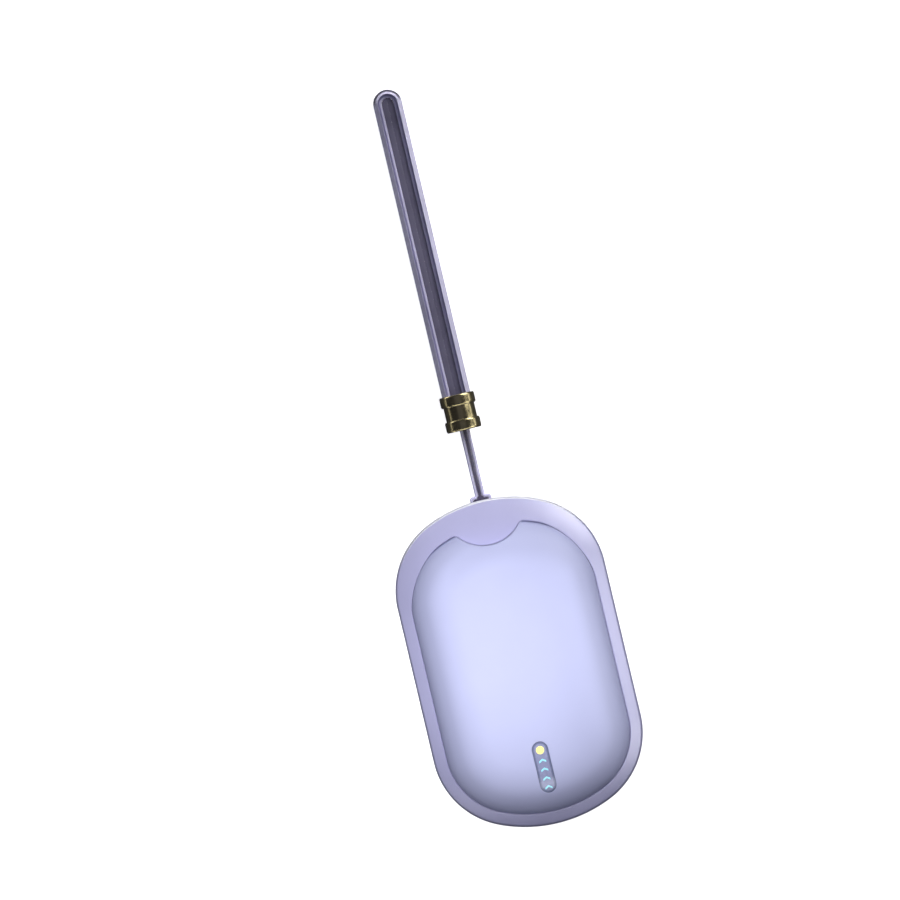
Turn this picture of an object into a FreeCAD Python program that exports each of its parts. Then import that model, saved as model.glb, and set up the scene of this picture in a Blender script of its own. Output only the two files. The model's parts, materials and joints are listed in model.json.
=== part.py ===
"""Pocket hand warmer: a domed case with a lit key, and a wrist strap on a doubled cord.

The case lies on its flat back. X runs across it, Y towards the strap, Z up through the front.
All sizes are in millimetres.
"""
import FreeCAD, Part
import math
import os
from collections import namedtuple

# Case outline and walls
body_length = 95.0
body_width = 60.8
end_radius = 40.6
corner_radius = 23.5
wall = 2.0
back_radius = 9.5
parting_height = 11.0
frame_run = 16.3
frame_rise = 5.4
shoulder_rise = 3.44
shoulder_radius = 0.7
seat_height = 14.8
ledge_width = 2.4
ledge_thickness = 1.8
lip_height = 1.5
lip_thickness = 1.0
lip_length = 44.0
lip_gap = 0.1
rounding_steps = 6

# Front panel with its scooped end
rim_width = 3.75
panel_setback = 7.0
panel_wall = 1.8
panel_run = 13.5
panel_rise = 10.5
panel_gap = 0.2
skirt_height = 0.4
gasket_thickness = 0.3
notch_radius = 11.7
notch_depth = 13.1
ear_radius = 1.7

# Key, its light windows and its switch
key_length = 14.9
key_width = 4.64
key_distance = 16.6
key_gap = 0.12
key_recess = 0.15
key_travel = 0.5
key_flange = 0.8
key_flange_thickness = 0.8
key_flange_gap = 0.1
key_arm_width = 3.0
key_arm_reach = 2.9
well_wall = 1.2
well_depth = 5.3
dot_diameter = 2.35
dot_setback = 2.45
chevron_count = 4
chevron_lead = 2.5
chevron_pitch = 2.575
chevron_width = 2.06
chevron_rise = 0.62
chevron_stroke = 0.58
light_gap = 0.2
plunger_diameter = 1.6
plunger_floor_gap = 0.1
plunger_gap = 0.08
switch_width = 4.6
switch_depth = 2.6
switch_gap = 0.3
switch_floor = 0.2

# Indicator board
board_thickness = 1.0
indicator_drop = 2.2
indicator_width = 17.6
indicator_length = 19.0
light_width = 1.6
light_depth = 0.8
light_height = 0.5
post_diameter = 3.0
post_across = 13.6
post_spacing = 14.0
post_margin = 2.9
small_screw_diameter = 1.6
small_screw_length = 4.0
small_head_diameter = 2.8
small_head_height = 1.0
thread_gap = 0.02

# Main board and charging socket
board_height = 5.4
board_inset = 3.9
board_length = 28.5
board_boss_gap = 0.3
standoff_diameter = 4.4
wide_standoff_step = 5.4
wide_standoff_setback = 7.5
near_standoff_across = 20.0
near_standoff_setback = 18.0
socket_width = 8.94
socket_height = 3.2
socket_depth = 7.3
socket_wall = 0.3
socket_setback = 0.6
socket_gap = 0.2
tongue_width = 6.7
tongue_thickness = 0.7
tongue_depth = 5.4
chip_side = 5.0
chip_height = 0.9
coil_side = 6.0
coil_height = 3.2
power_step = 5.0
power_setback = 12.5
plug_width = 6.4
plug_depth = 4.6
plug_height = 4.0
plug_setback = 9.0
heater_plug_width = 10.0
heater_plug_depth = 1.0
heater_plug_height = 2.0
ribbon_width = 5.0
ribbon_thickness = 0.2
ribbon_setback = 14.1
ribbon_plug_width = 7.0
ribbon_plug_depth = 2.4
ribbon_plug_height = 1.6

# Cells, heaters and pads
cell_diameter = 18.2
cell_gap = 0.3
cell_start_gap = 1.45
cell_end_gap = 0.3
tab_thickness = 0.3
tab_width = 7.0
film_thickness = 0.2
pad_thickness = 1.0
pad_width = 30.0
pad_margin = 3.0
rear_film_side_gap = 4.9
rear_film_overlap = 1.0
rear_film_corner = 6.0
rear_tail_width = 8.0
rear_tail_reach = 5.0
plate_thickness = 0.8
plate_side_gap = 1.0
front_tail_width = 8.0
front_tail_reach = 0.7
front_pad_inset = 1.0
front_pad_setback = 8.0
sensor_width = 3.0
sensor_depth = 2.0
sensor_height = 1.2
sensor_margin = 2.5
sensor_gap = 1.0

# Battery leads
battery_lead_diameter = 1.0
battery_lead_spread = 2.5
battery_lead_stub = 2.6
battery_lead_height = 2.2

# Case screws
boss_diameter = 4.6
boss_side_gap = 0.4
boss_root = 0.4
tab_diameter = 7.0
case_screw_diameter = 2.0
case_screw_length = 8.0
case_hole_gap = 0.15
case_head_diameter = 3.8
case_head_height = 1.4

# Lanyard cord, ferrule and strap
cord_diameter = 0.95
cord_width = 2.9
cord_flare = 6.3
cord_reach = 20.6
cord_hold = 3.0
cord_level_run = 5.1
cord_drop_run = 7.5
cord_rise_run = 3.7
cord_rise = 0.9
cord_flare_start = 1.1
core_thickness = 0.6
core_gap = 0.02
core_foot_width = 4.3
core_foot_chamfer = 0.25
core_foot_start = 1.5
core_foot_end = 0.6
core_neck_width = 2.2
exit_height = 9.5
window_margin = 0.25
window_height = 2.0
anchor_gap = 0.1
anchor_distance = 4.9
anchor_low = 4.2
anchor_high = 14.7
anchor_sleeve_wall = 1.5
anchor_low_sleeve = 6.5
anchor_high_sleeve = 12.7
ferrule_length = 10.4
ferrule_diameter = 10.2
ferrule_waist = 9.0
ferrule_flange = 2.86
ferrule_rounding = 0.6
strap_width = 8.3
strap_reach = 89.7
strap_hold = 6.0
strap_depth = 5.0
strap_thickness = 2.65
strap_rounding = 2.0
strap_floor_gap = 0.05
strap_fit_gap = 0.05
lining_thickness = 1.3
lining_depth = 2.6

overrun = 1.0
tangent_share = 0.45
tolerance = 0.001

Outline = namedtuple("Outline", "width length end_radius corner_radius centre_y")
body = Outline(body_width, body_length, end_radius, corner_radius, 0)
panel = Outline(
    body_width - 2 * rim_width,
    body_length - rim_width - panel_setback,
    end_radius - rim_width,
    corner_radius - rim_width,
    (rim_width - panel_setback) / 2,
)

# Heights and places that follow from the sizes
strap_end = body_length / 2
socket_end = -body_length / 2
shoulder = parting_height + shoulder_rise
panel_base = seat_height + gasket_thickness
panel_edge = panel_base + skirt_height
crown = panel_edge + panel_rise
ceiling = crown - panel_wall
ledge_base = seat_height - ledge_thickness
notch_y = strap_end - notch_depth + notch_radius
key_y = socket_end + key_distance
key_top_y = key_y + key_length / 2
dot_y = key_top_y - dot_setback
well_base = crown - well_depth
flange_top = well_base - key_flange_gap
flange_base = flange_top - key_flange_thickness
switch_y = key_top_y + key_arm_reach - switch_depth / 2
indicator_top = flange_base - indicator_drop
lens_base = indicator_top + light_height + key_travel + light_gap
switch_height = indicator_drop - key_travel - switch_gap
plunger_length = indicator_drop - key_travel - switch_floor - plunger_floor_gap
indicator_base = indicator_top - board_thickness
indicator_end = key_top_y + key_arm_reach + switch_floor
indicator_y = indicator_end - indicator_length / 2
board_top = board_height + board_thickness
board_edge = socket_end + board_length
boss_x = panel.width / 2 - panel_wall - case_head_diameter / 2 - boss_side_gap
standoff_x = boss_x - wide_standoff_step
power_x = standoff_x - power_step
cell_radius = cell_diameter / 2
cell_x = cell_radius + cell_gap / 2
cell_z = wall + film_thickness + pad_thickness + cell_radius
cell_top = cell_z + cell_radius
plate_base = ceiling - plate_thickness
film_base = plate_base - film_thickness
cell_low = indicator_end + cell_start_gap + tab_thickness
cell_high = strap_end - notch_depth - ledge_width - cell_end_gap - tab_thickness
cell_length = cell_high - cell_low
cell_y = (cell_low + cell_high) / 2
plate_inset = panel_run + plate_side_gap
plate_low = cell_low - tab_thickness
plate_high = strap_end - panel_setback - plate_inset
sensor_y = plate_high - sensor_margin
tail_y = plate_low - front_tail_reach + film_thickness / 2
plug_y = board_edge - plug_setback
ribbon_y = board_edge - ribbon_setback
anchor_y = strap_end - anchor_distance
flare_x = (cord_flare - cord_diameter) / 2
strand_x = (cord_width - cord_diameter) / 2
anchor_radius = flare_x - cord_diameter / 2 - anchor_gap
core_width = 2 * strand_x - cord_diameter - 2 * core_gap
ferrule_y = strap_end + cord_reach
ferrule_top_y = ferrule_y + ferrule_length
ferrule_z = ferrule_diameter / 2
strap_tilt = math.atan2(ferrule_z - strap_depth / 2 - strap_floor_gap, strap_reach)


def vec(x, y, z):
    """Point or direction."""
    return FreeCAD.Vector(x, y, z)


def box(width, depth, height, x, y, low):
    """Box centred on x and y that stands on a level."""
    return Part.makeBox(width, depth, height, vec(x - width / 2, y - depth / 2, low))


def rod(diameter, low, high, x, y):
    """Upright round bar between two levels."""
    return Part.makeCylinder(diameter / 2, high - low, vec(x, y, low))


def pill(width, length, y, low, high):
    """Upright bar with a long section that has round ends."""
    middle = box(width, length - width, high - low, 0, y, low)
    ends = [rod(width, low, high, 0, y + side * (length - width) / 2) for side in (-1, 1)]
    return middle.multiFuse(ends).removeSplitter()


def corner_centre(shape):
    """Centre of the corner arc where a straight side ends, from the middle of the outline."""
    corner_x = shape.width / 2 - shape.corner_radius
    end_y = shape.length / 2 - shape.end_radius
    return corner_x, end_y + math.sqrt((shape.end_radius - shape.corner_radius) ** 2 - corner_x ** 2)


def outline_wire(shape, inset, level):
    """Outline with straight sides and three-arc ends, drawn inside itself by the inset."""
    corner_x, corner_y = corner_centre(shape)
    end_y = shape.length / 2 - shape.end_radius
    lean = math.atan2(corner_y - end_y, corner_x)
    corner = shape.corner_radius - inset
    end = shape.end_radius - inset
    half_turn = math.pi
    arcs = [
        (corner_x, corner_y, corner, 0, lean),
        (0, end_y, end, lean, half_turn - lean),
        (-corner_x, corner_y, corner, half_turn - lean, half_turn),
        (-corner_x, -corner_y, corner, half_turn, half_turn + lean),
        (0, -end_y, end, half_turn + lean, 2 * half_turn - lean),
        (corner_x, -corner_y, corner, 2 * half_turn - lean, 2 * half_turn),
    ]
    edges = []
    first = None
    last = None
    for x, y, radius, start, stop in arcs:
        spots = []
        for angle in (start, (start + stop) / 2, stop):
            spots.append(vec(x + radius * math.cos(angle), shape.centre_y + y + radius * math.sin(angle), level))
        if last and spots[0].distanceToPoint(last) > tolerance:
            edges.append(Part.LineSegment(last, spots[0]).toShape())
        edges.append(Part.Arc(*spots).toShape())
        first = first or spots[0]
        last = spots[2]
    edges.append(Part.LineSegment(last, first).toShape())
    return Part.Wire(edges)


def prism(shape, inset, low, high):
    """Upright prism of an outline."""
    return Part.Face(outline_wire(shape, inset, low)).extrude(vec(0, 0, high - low))


def pillow(shape, inset, base, run, rise):
    """Solid whose edge is rounded as a quarter ellipse, run wide and rise high."""
    wires = []
    for step in range(rounding_steps + 1):
        angle = math.pi / 2 * step / rounding_steps
        wires.append(outline_wire(shape, inset + run * (1 - math.cos(angle)), base + rise * math.sin(angle)))
    return Part.makeLoft(wires, True)


def crowned(shape, inset, base, run, rise):
    """Solid whose top falls away to its edge as a parabola, run wide and rise high."""
    wires = []
    for step in range(rounding_steps + 1):
        share = step / rounding_steps
        wires.append(outline_wire(shape, inset + run * share, base + rise * (1 - (1 - share) ** 2)))
    return Part.makeLoft(wires, True)


def panel_prism(grow, low, high):
    """Upright prism of the panel's outline with its scooped end and rounded ears."""
    radius = notch_radius - grow
    solid = prism(panel, -grow, low, high).cut(rod(2 * radius, low, high, 0, notch_y))
    ear = ear_radius + grow
    if ear > tolerance:
        corners = []
        for edge in solid.Edges:
            middle = edge.CenterOfMass
            on_scoop = abs(math.hypot(middle.x, middle.y - notch_y) - radius) < tolerance
            upright = abs(edge.BoundBox.ZLength - (high - low)) < tolerance and edge.BoundBox.XLength < tolerance
            if on_scoop and upright:
                corners.append(edge)
        solid = solid.makeFillet(ear, corners)
    return solid


def pairs(across):
    """The two places at equal distances left and right."""
    return (-across / 2, across / 2)


def screw(shank, length, head, head_height, x, y, seat, direction):
    """Screw whose head stands on its seat; direction points from the tip to the head."""
    tip = seat - direction * length
    cap = rod(head, min(seat, seat + direction * head_height), max(seat, seat + direction * head_height), x, y)
    return cap.fuse(rod(shank, min(seat, tip), max(seat, tip), x, y)).removeSplitter()


def carried(name, points, ring):
    """Section carried along straight runs joined by tangent arcs."""
    edges = []
    radii = []
    here = points[0]
    for before, corner, after in zip(points, points[1:], points[2:]):
        back = before - corner
        ahead = after - corner
        turn = math.pi - back.getAngle(ahead)
        reach = tangent_share * min(back.Length, ahead.Length)
        radius = reach / math.tan(turn / 2)
        radii.append(radius)
        back.normalize()
        ahead.normalize()
        start = corner + back * reach
        stop = corner + ahead * reach
        inward = back + ahead
        inward.normalize()
        middle = corner + inward * (radius / math.cos(turn / 2) - radius)
        edges.append(Part.LineSegment(here, start).toShape())
        edges.append(Part.Arc(start, middle, stop).toShape())
        here = stop
    edges.append(Part.LineSegment(here, points[-1]).toShape())
    path = Part.Wire(edges)
    solid = path.makePipeShell([ring], True, False)
    print(name, "length", round(path.Length, 1), "bend radii", [round(radius, 2) for radius in radii],
          "volume share", round(solid.Volume / (Part.Face(ring).Area * path.Length), 3))
    return solid


def tube(name, points, diameter):
    """Round tube through the points."""
    return carried(name, points, Part.Wire([Part.makeCircle(diameter / 2, points[0], points[1] - points[0])]))


def hairpin(half_outer, half_inner, depth, start_y, tip_y):
    """Band folded back on itself round a half circle, standing on edge about level zero."""
    solids = []
    for half in (half_outer, half_inner):
        turn_y = tip_y - half_outer
        straight = box(2 * half, turn_y - start_y, depth, 0, (turn_y + start_y) / 2, -depth / 2)
        solids.append(straight.fuse(rod(2 * half, -depth / 2, depth / 2, 0, turn_y)).removeSplitter())
    return solids[0].cut(solids[1])


def laid(solid):
    """Strap piece moved to the ferrule's mouth and tilted down to rest on the ground."""
    solid = solid.copy()
    solid.rotate(vec(0, ferrule_top_y, 0), vec(1, 0, 0), -math.degrees(strap_tilt))
    solid.translate(vec(0, 0, ferrule_z))
    return solid


def save(node, solids):
    """Write one node's solids."""
    shape = solids if not isinstance(solids, list) else Part.makeCompound(solids)
    shape.exportStep("parts/" + node + ".step")
    print(node, "solids", len(shape.Solids), "valid", shape.isValid(), "volume", round(shape.Volume, 2))


def standoffs():
    """Places of the main board's screws."""
    wide = [(x, board_edge - wide_standoff_setback) for x in pairs(2 * standoff_x)]
    near = [(x, board_edge - near_standoff_setback) for x in pairs(near_standoff_across)]
    return wide + near


def posts():
    """Places of the indicator board's screws."""
    high_y = indicator_end - post_margin
    return [(x, y) for x in pairs(post_across) for y in (high_y, high_y - post_spacing)]


def bosses():
    """Places of the case screws, where the panel's straight sides end near the socket."""
    return [(x, panel.centre_y - corner_centre(panel)[1]) for x in pairs(2 * boss_x)]


def rear_shell():
    """Flat-backed lower shell with its bosses, the socket's hole and the cord's window."""
    inner = back_radius - wall
    solid = pillow(body, 0, back_radius, back_radius, -back_radius)
    solid = solid.fuse(prism(body, 0, back_radius, parting_height))
    hollow = pillow(body, wall, back_radius, inner, -inner)
    hollow = hollow.fuse(prism(body, wall, back_radius, parting_height + overrun))
    root = wall - boss_root
    added = [rod(boss_diameter, root, ledge_base, x, y) for x, y in bosses()]
    added += [rod(standoff_diameter, root, board_height, x, y) for x, y in standoffs()]
    sleeve = 2 * (anchor_radius + anchor_sleeve_wall)
    added.append(rod(sleeve, wall, anchor_low_sleeve, 0, anchor_y).common(prism(body, wall / 2, 0, parting_height)))
    solid = solid.cut(hollow).multiFuse(added)
    shell_floor = pillow(body, 0, back_radius, back_radius, -back_radius)
    tall = prism(body, 0, back_radius, crown)
    solid = solid.common(shell_floor.fuse(tall))
    cuts = [rod(case_screw_diameter, seat_height - case_screw_length, seat_height, x, y) for x, y in bosses()]
    cuts += [rod(small_screw_diameter, board_top - small_screw_length, board_top, x, y) for x, y in standoffs()]
    cuts.append(rod(2 * (anchor_radius + thread_gap), anchor_low, parting_height, 0, anchor_y))
    window = pill(window_height, cord_flare + 2 * window_margin, 0, 0, 2 * (wall + overrun))
    window.rotate(vec(0, 0, 0), vec(0, 0, 1), 90)
    window.rotate(vec(0, 0, 0), vec(1, 0, 0), 90)
    window.translate(vec(0, strap_end + overrun, exit_height))
    cuts.append(window)
    cuts.append(socket_bar(socket_gap, socket_end - overrun, socket_end + 2 * wall))
    return solid.cut(Part.makeCompound(cuts)).removeSplitter()


def socket_bar(grow, start, stop):
    """Bar with the charging socket's section, along Y."""
    bar = pill(socket_height + 2 * grow, socket_width + 2 * grow, 0, 0, stop - start)
    bar.rotate(vec(0, 0, 0), vec(0, 0, 1), 90)
    bar.rotate(vec(0, 0, 0), vec(1, 0, 0), 90)
    bar.translate(vec(0, stop, board_top + socket_height / 2))
    return bar


def front_frame():
    """Rim of the case with the ledge for the panel, the screw tabs and the filled scoop."""
    outside = prism(body, 0, parting_height, shoulder).fuse(crowned(body, 0, shoulder, frame_run, frame_rise))
    outside = outside.removeSplitter()
    brow = [edge for edge in outside.Edges if abs(edge.BoundBox.ZMin - shoulder) < tolerance]
    brow = [edge for edge in brow if edge.BoundBox.ZLength < tolerance]
    outside = outside.makeFillet(shoulder_radius, brow)
    low_shoulder = shoulder - wall / 2
    hollow = crowned(body, wall, low_shoulder, frame_run - wall, frame_rise - wall / 2)
    hollow = hollow.fuse(prism(body, wall, parting_height, low_shoulder))
    cuts = [
        prism(body, wall, parting_height - overrun, ledge_base),
        panel_prism(panel_gap, seat_height, crown),
        panel_prism(-ledge_width, ledge_base, seat_height),
        hollow.cut(panel_prism(wall, parting_height - overrun, crown)),
    ]
    solid = outside
    for cut in cuts:
        solid = solid.cut(cut)
    inside = prism(body, wall / 2, ledge_base, seat_height)
    tabs = [rod(tab_diameter, ledge_base, seat_height, x, y).common(inside) for x, y in bosses()]
    sleeve = rod(2 * (anchor_radius + anchor_sleeve_wall), anchor_high_sleeve, crown, 0, anchor_y)
    lip_low = parting_height - lip_height
    lip_high = parting_height + lip_height
    ring = prism(body, wall + lip_gap, lip_low, parting_height)
    ring = ring.fuse(prism(body, wall / 2, parting_height, lip_high))
    ring = ring.cut(prism(body, wall + lip_gap + lip_thickness, lip_low - overrun, lip_high + overrun))
    lips = ring.common(box(body_width, lip_length, 2 * lip_height, 0, 0, lip_low))
    added = tabs + [sleeve.common(outside), lips]
    solid = solid.multiFuse(added)
    holes = [rod(case_screw_diameter + 2 * case_hole_gap, ledge_base, seat_height, x, y) for x, y in bosses()]
    holes.append(rod(2 * (anchor_radius + thread_gap), parting_height, anchor_high, 0, anchor_y))
    return solid.cut(Part.makeCompound(holes)).removeSplitter()


def panel_skin(inset, drop):
    """Panel's dome, smaller by the inset and lower by the drop."""
    dome = pillow(panel, inset, panel_edge - drop, panel_run - inset, panel_rise - inset)
    return dome.fuse(prism(panel, inset, panel_base - drop, panel_edge - drop))


def front_panel():
    """Domed panel with the key's well and the posts of the indicator board."""
    outside = panel_skin(0, 0).common(panel_prism(0, panel_base, crown))
    inside = panel_skin(panel_wall, 0).common(panel_prism(-panel_wall, panel_base, crown))
    well = pill(key_width + 2 * well_wall, key_length + 2 * well_wall, key_y, well_base, crown)
    added = [well.common(outside)]
    added += [rod(post_diameter, indicator_top, crown, x, y).common(outside) for x, y in posts()]
    solid = outside.cut(inside).multiFuse(added)
    cuts = [pill(key_width, key_length, key_y, panel_base, crown + overrun)]
    tip = indicator_base + small_screw_length
    cuts += [rod(small_screw_diameter, indicator_top, tip, x, y) for x, y in posts()]
    return solid.cut(Part.makeCompound(cuts)).removeSplitter()


def chevron(apex_y, low, high):
    """Upright bar with the section of an open arrow head."""
    half = chevron_width / 2
    foot_y = apex_y - chevron_rise
    corners = [
        (0, apex_y),
        (half, foot_y),
        (half, foot_y - chevron_stroke),
        (0, apex_y - chevron_stroke),
        (-half, foot_y - chevron_stroke),
        (-half, foot_y),
        (0, apex_y),
    ]
    outline = Part.makePolygon([vec(x, y, low) for x, y in corners])
    return Part.Face(outline).extrude(vec(0, 0, high - low))


def key_pieces():
    """Key cap and the light windows set in it."""
    skin = panel_skin(0, key_recess)
    skin = skin.fuse(prism(panel, 0, lens_base, panel_base))
    dot = rod(dot_diameter, lens_base, crown, 0, dot_y).common(skin)
    apexes = [dot_y - chevron_lead - index * chevron_pitch for index in range(chevron_count)]
    arrows = [chevron(apex, lens_base, crown).common(skin) for apex in apexes]
    cap = pill(key_width - 2 * key_gap, key_length - 2 * key_gap, key_y, flange_base, crown).common(skin)
    flange = pill(key_width + 2 * key_flange, key_length + 2 * key_flange, key_y, flange_base, flange_top)
    arm = box(key_arm_width, key_arm_reach, key_flange_thickness, 0, key_top_y + key_arm_reach / 2, flange_base)
    cap = cap.multiFuse([flange, arm]).cut(Part.makeCompound([dot] + arrows)).removeSplitter()
    return cap, dot, arrows


def switch_pieces():
    """Key switch body and the plunger under the key's arm."""
    case = box(switch_width, switch_depth, switch_height, 0, switch_y, indicator_top)
    well = rod(plunger_diameter + 2 * plunger_gap, indicator_top + switch_floor, flange_base, 0, switch_y)
    plunger = rod(plunger_diameter, flange_base - plunger_length, flange_base, 0, switch_y)
    return case.cut(well), plunger


def main_board():
    """Board that fills the socket end of the case."""
    solid = prism(body, board_inset, board_height, board_top)
    keep = box(body_width, body_length, board_thickness, 0, board_edge - body_length / 2, board_height)
    holes = [rod(small_screw_diameter + 2 * thread_gap, board_height, board_top, x, y) for x, y in standoffs()]
    holes += [rod(boss_diameter + 2 * board_boss_gap, board_height, board_top, x, y) for x, y in bosses()]
    return solid.common(keep).cut(Part.makeCompound(holes))


def indicator_board():
    """Small board under the key."""
    solid = box(indicator_width, indicator_length, board_thickness, 0, indicator_y, indicator_base)
    holes = [rod(small_screw_diameter + 2 * thread_gap, indicator_base, indicator_top, x, y) for x, y in posts()]
    return solid.cut(Part.makeCompound(holes))


def socket_pieces():
    """Charging socket's shell and the tongue inside it."""
    start = socket_end + socket_setback
    shell = socket_bar(0, start, start + socket_depth)
    shell = shell.cut(socket_bar(-socket_wall, start - overrun, start + socket_depth - socket_wall))
    low = board_top + socket_height / 2 - tongue_thickness / 2
    stop = start + socket_depth - socket_wall
    tongue = box(tongue_width, tongue_depth, tongue_thickness, 0, stop - tongue_depth / 2, low)
    return shell, tongue


def rear_film():
    """Rear heater film with its tail up to the main board."""
    width = body_width - 2 * back_radius - 2 * rear_film_side_gap
    length = cell_length + 2 * rear_film_overlap
    film = box(width, length, film_thickness, 0, cell_y, wall)
    uprights = [edge for edge in film.Edges if edge.BoundBox.ZLength > film_thickness - tolerance]
    film = film.makeFillet(rear_film_corner, uprights)
    film_end = cell_y - length / 2
    flat_length = rear_tail_reach + rear_film_corner
    flat = box(rear_tail_width, flat_length, film_thickness, 0, film_end + flat_length / 2 - rear_tail_reach, wall)
    upright_y = film_end - rear_tail_reach + film_thickness / 2
    upright = box(rear_tail_width, film_thickness, board_height - wall, 0, upright_y, wall)
    return film.multiFuse([flat, upright]).removeSplitter()


def plate(low, thickness):
    """Flat plate under the level part of the panel, cut straight at the cells' lower ends."""
    sheet = prism(panel, plate_inset, low, low + thickness)
    return sheet.common(box(body_width, plate_high - plate_low, thickness, 0, (plate_low + plate_high) / 2, low))


def front_film():
    """Front heater film with its tail down to the plug on the main board."""
    flat = box(front_tail_width, front_tail_reach, film_thickness, 0, plate_low - front_tail_reach / 2, film_base)
    plug_top = board_top + heater_plug_height
    upright = box(front_tail_width, film_thickness, film_base - plug_top, 0, tail_y, plug_top)
    return plate(film_base, film_thickness).multiFuse([flat, upright]).removeSplitter()


def front_pad():
    """Soft pad between the cells and the front heater film, clear of the sensor."""
    width = panel.width - 2 * plate_inset - 2 * front_pad_inset
    low_y = cell_low + front_pad_setback
    high_y = sensor_y - sensor_depth / 2 - sensor_gap
    return box(width, high_y - low_y, film_base - cell_top, 0, (low_y + high_y) / 2, cell_top)


def cell_pieces():
    """Two cells side by side and the tabs welded to their ends."""
    cells = []
    tabs = []
    for side in (-1, 1):
        centre = vec(side * cell_x, cell_low, cell_z)
        cells.append(Part.makeCylinder(cell_radius, cell_length, centre, vec(0, 1, 0)))
        tabs.append(box(tab_width, tab_thickness, tab_width, side * cell_x, cell_low - tab_thickness / 2,
                        cell_z - tab_width / 2))
    bridge_y = cell_high + tab_thickness / 2
    tabs.append(box(2 * cell_x + tab_width, tab_thickness, tab_width, 0, bridge_y, cell_z - tab_width / 2))
    return cells, tabs


def battery_lead(side, name):
    """Lead from one cell's tab to the battery plug."""
    start_y = cell_low - tab_thickness
    plug_face = plug_y + plug_depth / 2
    pin_x = side * battery_lead_spread / 2
    pin_z = board_top + battery_lead_height
    points = [
        vec(side * cell_x, start_y, cell_z),
        vec(side * cell_x, start_y - battery_lead_stub, cell_z),
        vec(pin_x, plug_face + battery_lead_stub, pin_z),
        vec(pin_x, plug_face, pin_z),
    ]
    return tube(name, points, battery_lead_diameter)


def lanyard_route():
    """Corners of the cord from one end in the ferrule, round the anchor, and back."""
    level_y = ferrule_y - cord_level_run
    slope_y = level_y - cord_drop_run
    rise_y = slope_y - cord_rise_run
    side = [
        (strand_x, ferrule_y + cord_hold, ferrule_z),
        (strand_x, level_y, ferrule_z),
        (strand_x, slope_y, exit_height - cord_rise),
        (strand_x, rise_y, exit_height),
        (strand_x, strap_end + cord_flare_start, exit_height),
        (flare_x, strap_end + cord_flare_start, exit_height),
        (flare_x, anchor_y - flare_x * math.tan(math.pi / 6), exit_height),
    ]
    turn = [(0, anchor_y - flare_x / math.cos(math.pi / 6), exit_height)]
    mirrored = [(-x, y, z) for x, y, z in reversed(side)]
    return [vec(*spot) for spot in side + turn + mirrored]


def lanyard_core():
    """Tape between the cord's strands, with a foot that widens where they part and ends in the window."""
    line = [vec(0, spot.y, spot.z) for spot in lanyard_route()[:4]]
    line.append(vec(0, strap_end + core_foot_start, exit_height))
    half = core_width / 2
    low = ferrule_z - core_thickness / 2
    high = ferrule_z + core_thickness / 2
    corners = [(-half, low), (half, low), (half, high), (-half, high), (-half, low)]
    section = Part.makePolygon([vec(x, line[0].y, z) for x, z in corners])
    tape = carried("lanyard_core", line, section)
    foot_half = core_foot_width / 2
    side = [
        (half, strap_end + core_foot_start),
        (core_neck_width / 2, strap_end + core_foot_end),
        (foot_half - core_foot_chamfer, strap_end + core_foot_end),
        (foot_half, strap_end + core_foot_end - core_foot_chamfer),
        (foot_half, strap_end - wall),
    ]
    plan = side + [(-x, y) for x, y in reversed(side)]
    foot = Part.Face(Part.makePolygon([vec(x, y, exit_height - core_thickness / 2) for x, y in plan + plan[:1]]))
    return tape.fuse(foot.extrude(vec(0, 0, core_thickness))).removeSplitter()


def strap_slot(grow):
    """Bar with the strap's section, in the ferrule's upper half."""
    half = strap_width / 2 + grow
    depth = strap_depth + 2 * grow
    length = strap_hold + overrun
    bar = box(2 * half, length, depth, 0, ferrule_top_y - strap_hold + length / 2, -depth / 2)
    long_edges = [edge for edge in bar.Edges if edge.BoundBox.YLength > length - tolerance]
    return laid(bar.makeFillet(strap_rounding, long_edges))


def ferrule():
    """Turned spool with a slot for the strap above, and holes for the cord and its core below."""
    flange = ferrule_diameter / 2
    waist = ferrule_waist / 2
    soft = ferrule_rounding
    profile = [
        (0, 0),
        (flange - soft, 0),
        (flange, soft),
        (flange, ferrule_flange - soft),
        (flange - soft, ferrule_flange),
        (waist, ferrule_flange),
        (waist, ferrule_length - ferrule_flange),
        (flange - soft, ferrule_length - ferrule_flange),
        (flange, ferrule_length - ferrule_flange + soft),
        (flange, ferrule_length - soft),
        (flange - soft, ferrule_length),
        (0, ferrule_length),
        (0, 0),
    ]
    face = Part.Face(Part.makePolygon([vec(x, y, 0) for x, y in profile]))
    solid = face.revolve(vec(0, 0, 0), vec(0, 1, 0), 360)
    solid.translate(vec(0, ferrule_y, ferrule_z))
    hold = cord_hold + strap_fit_gap
    core_slot = core_thickness + 2 * strap_fit_gap
    holes = [box(2 * strand_x, hold, core_slot, 0, ferrule_y + hold / 2, ferrule_z - core_slot / 2)]
    for x in (-strand_x, strand_x):
        holes.append(Part.makeCylinder(cord_diameter / 2 + strap_fit_gap, hold, vec(x, ferrule_y, ferrule_z),
                                       vec(0, 1, 0)))
    return solid.cut(strap_slot(strap_fit_gap)).cut(holes[0].multiFuse(holes[1:]))


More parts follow.
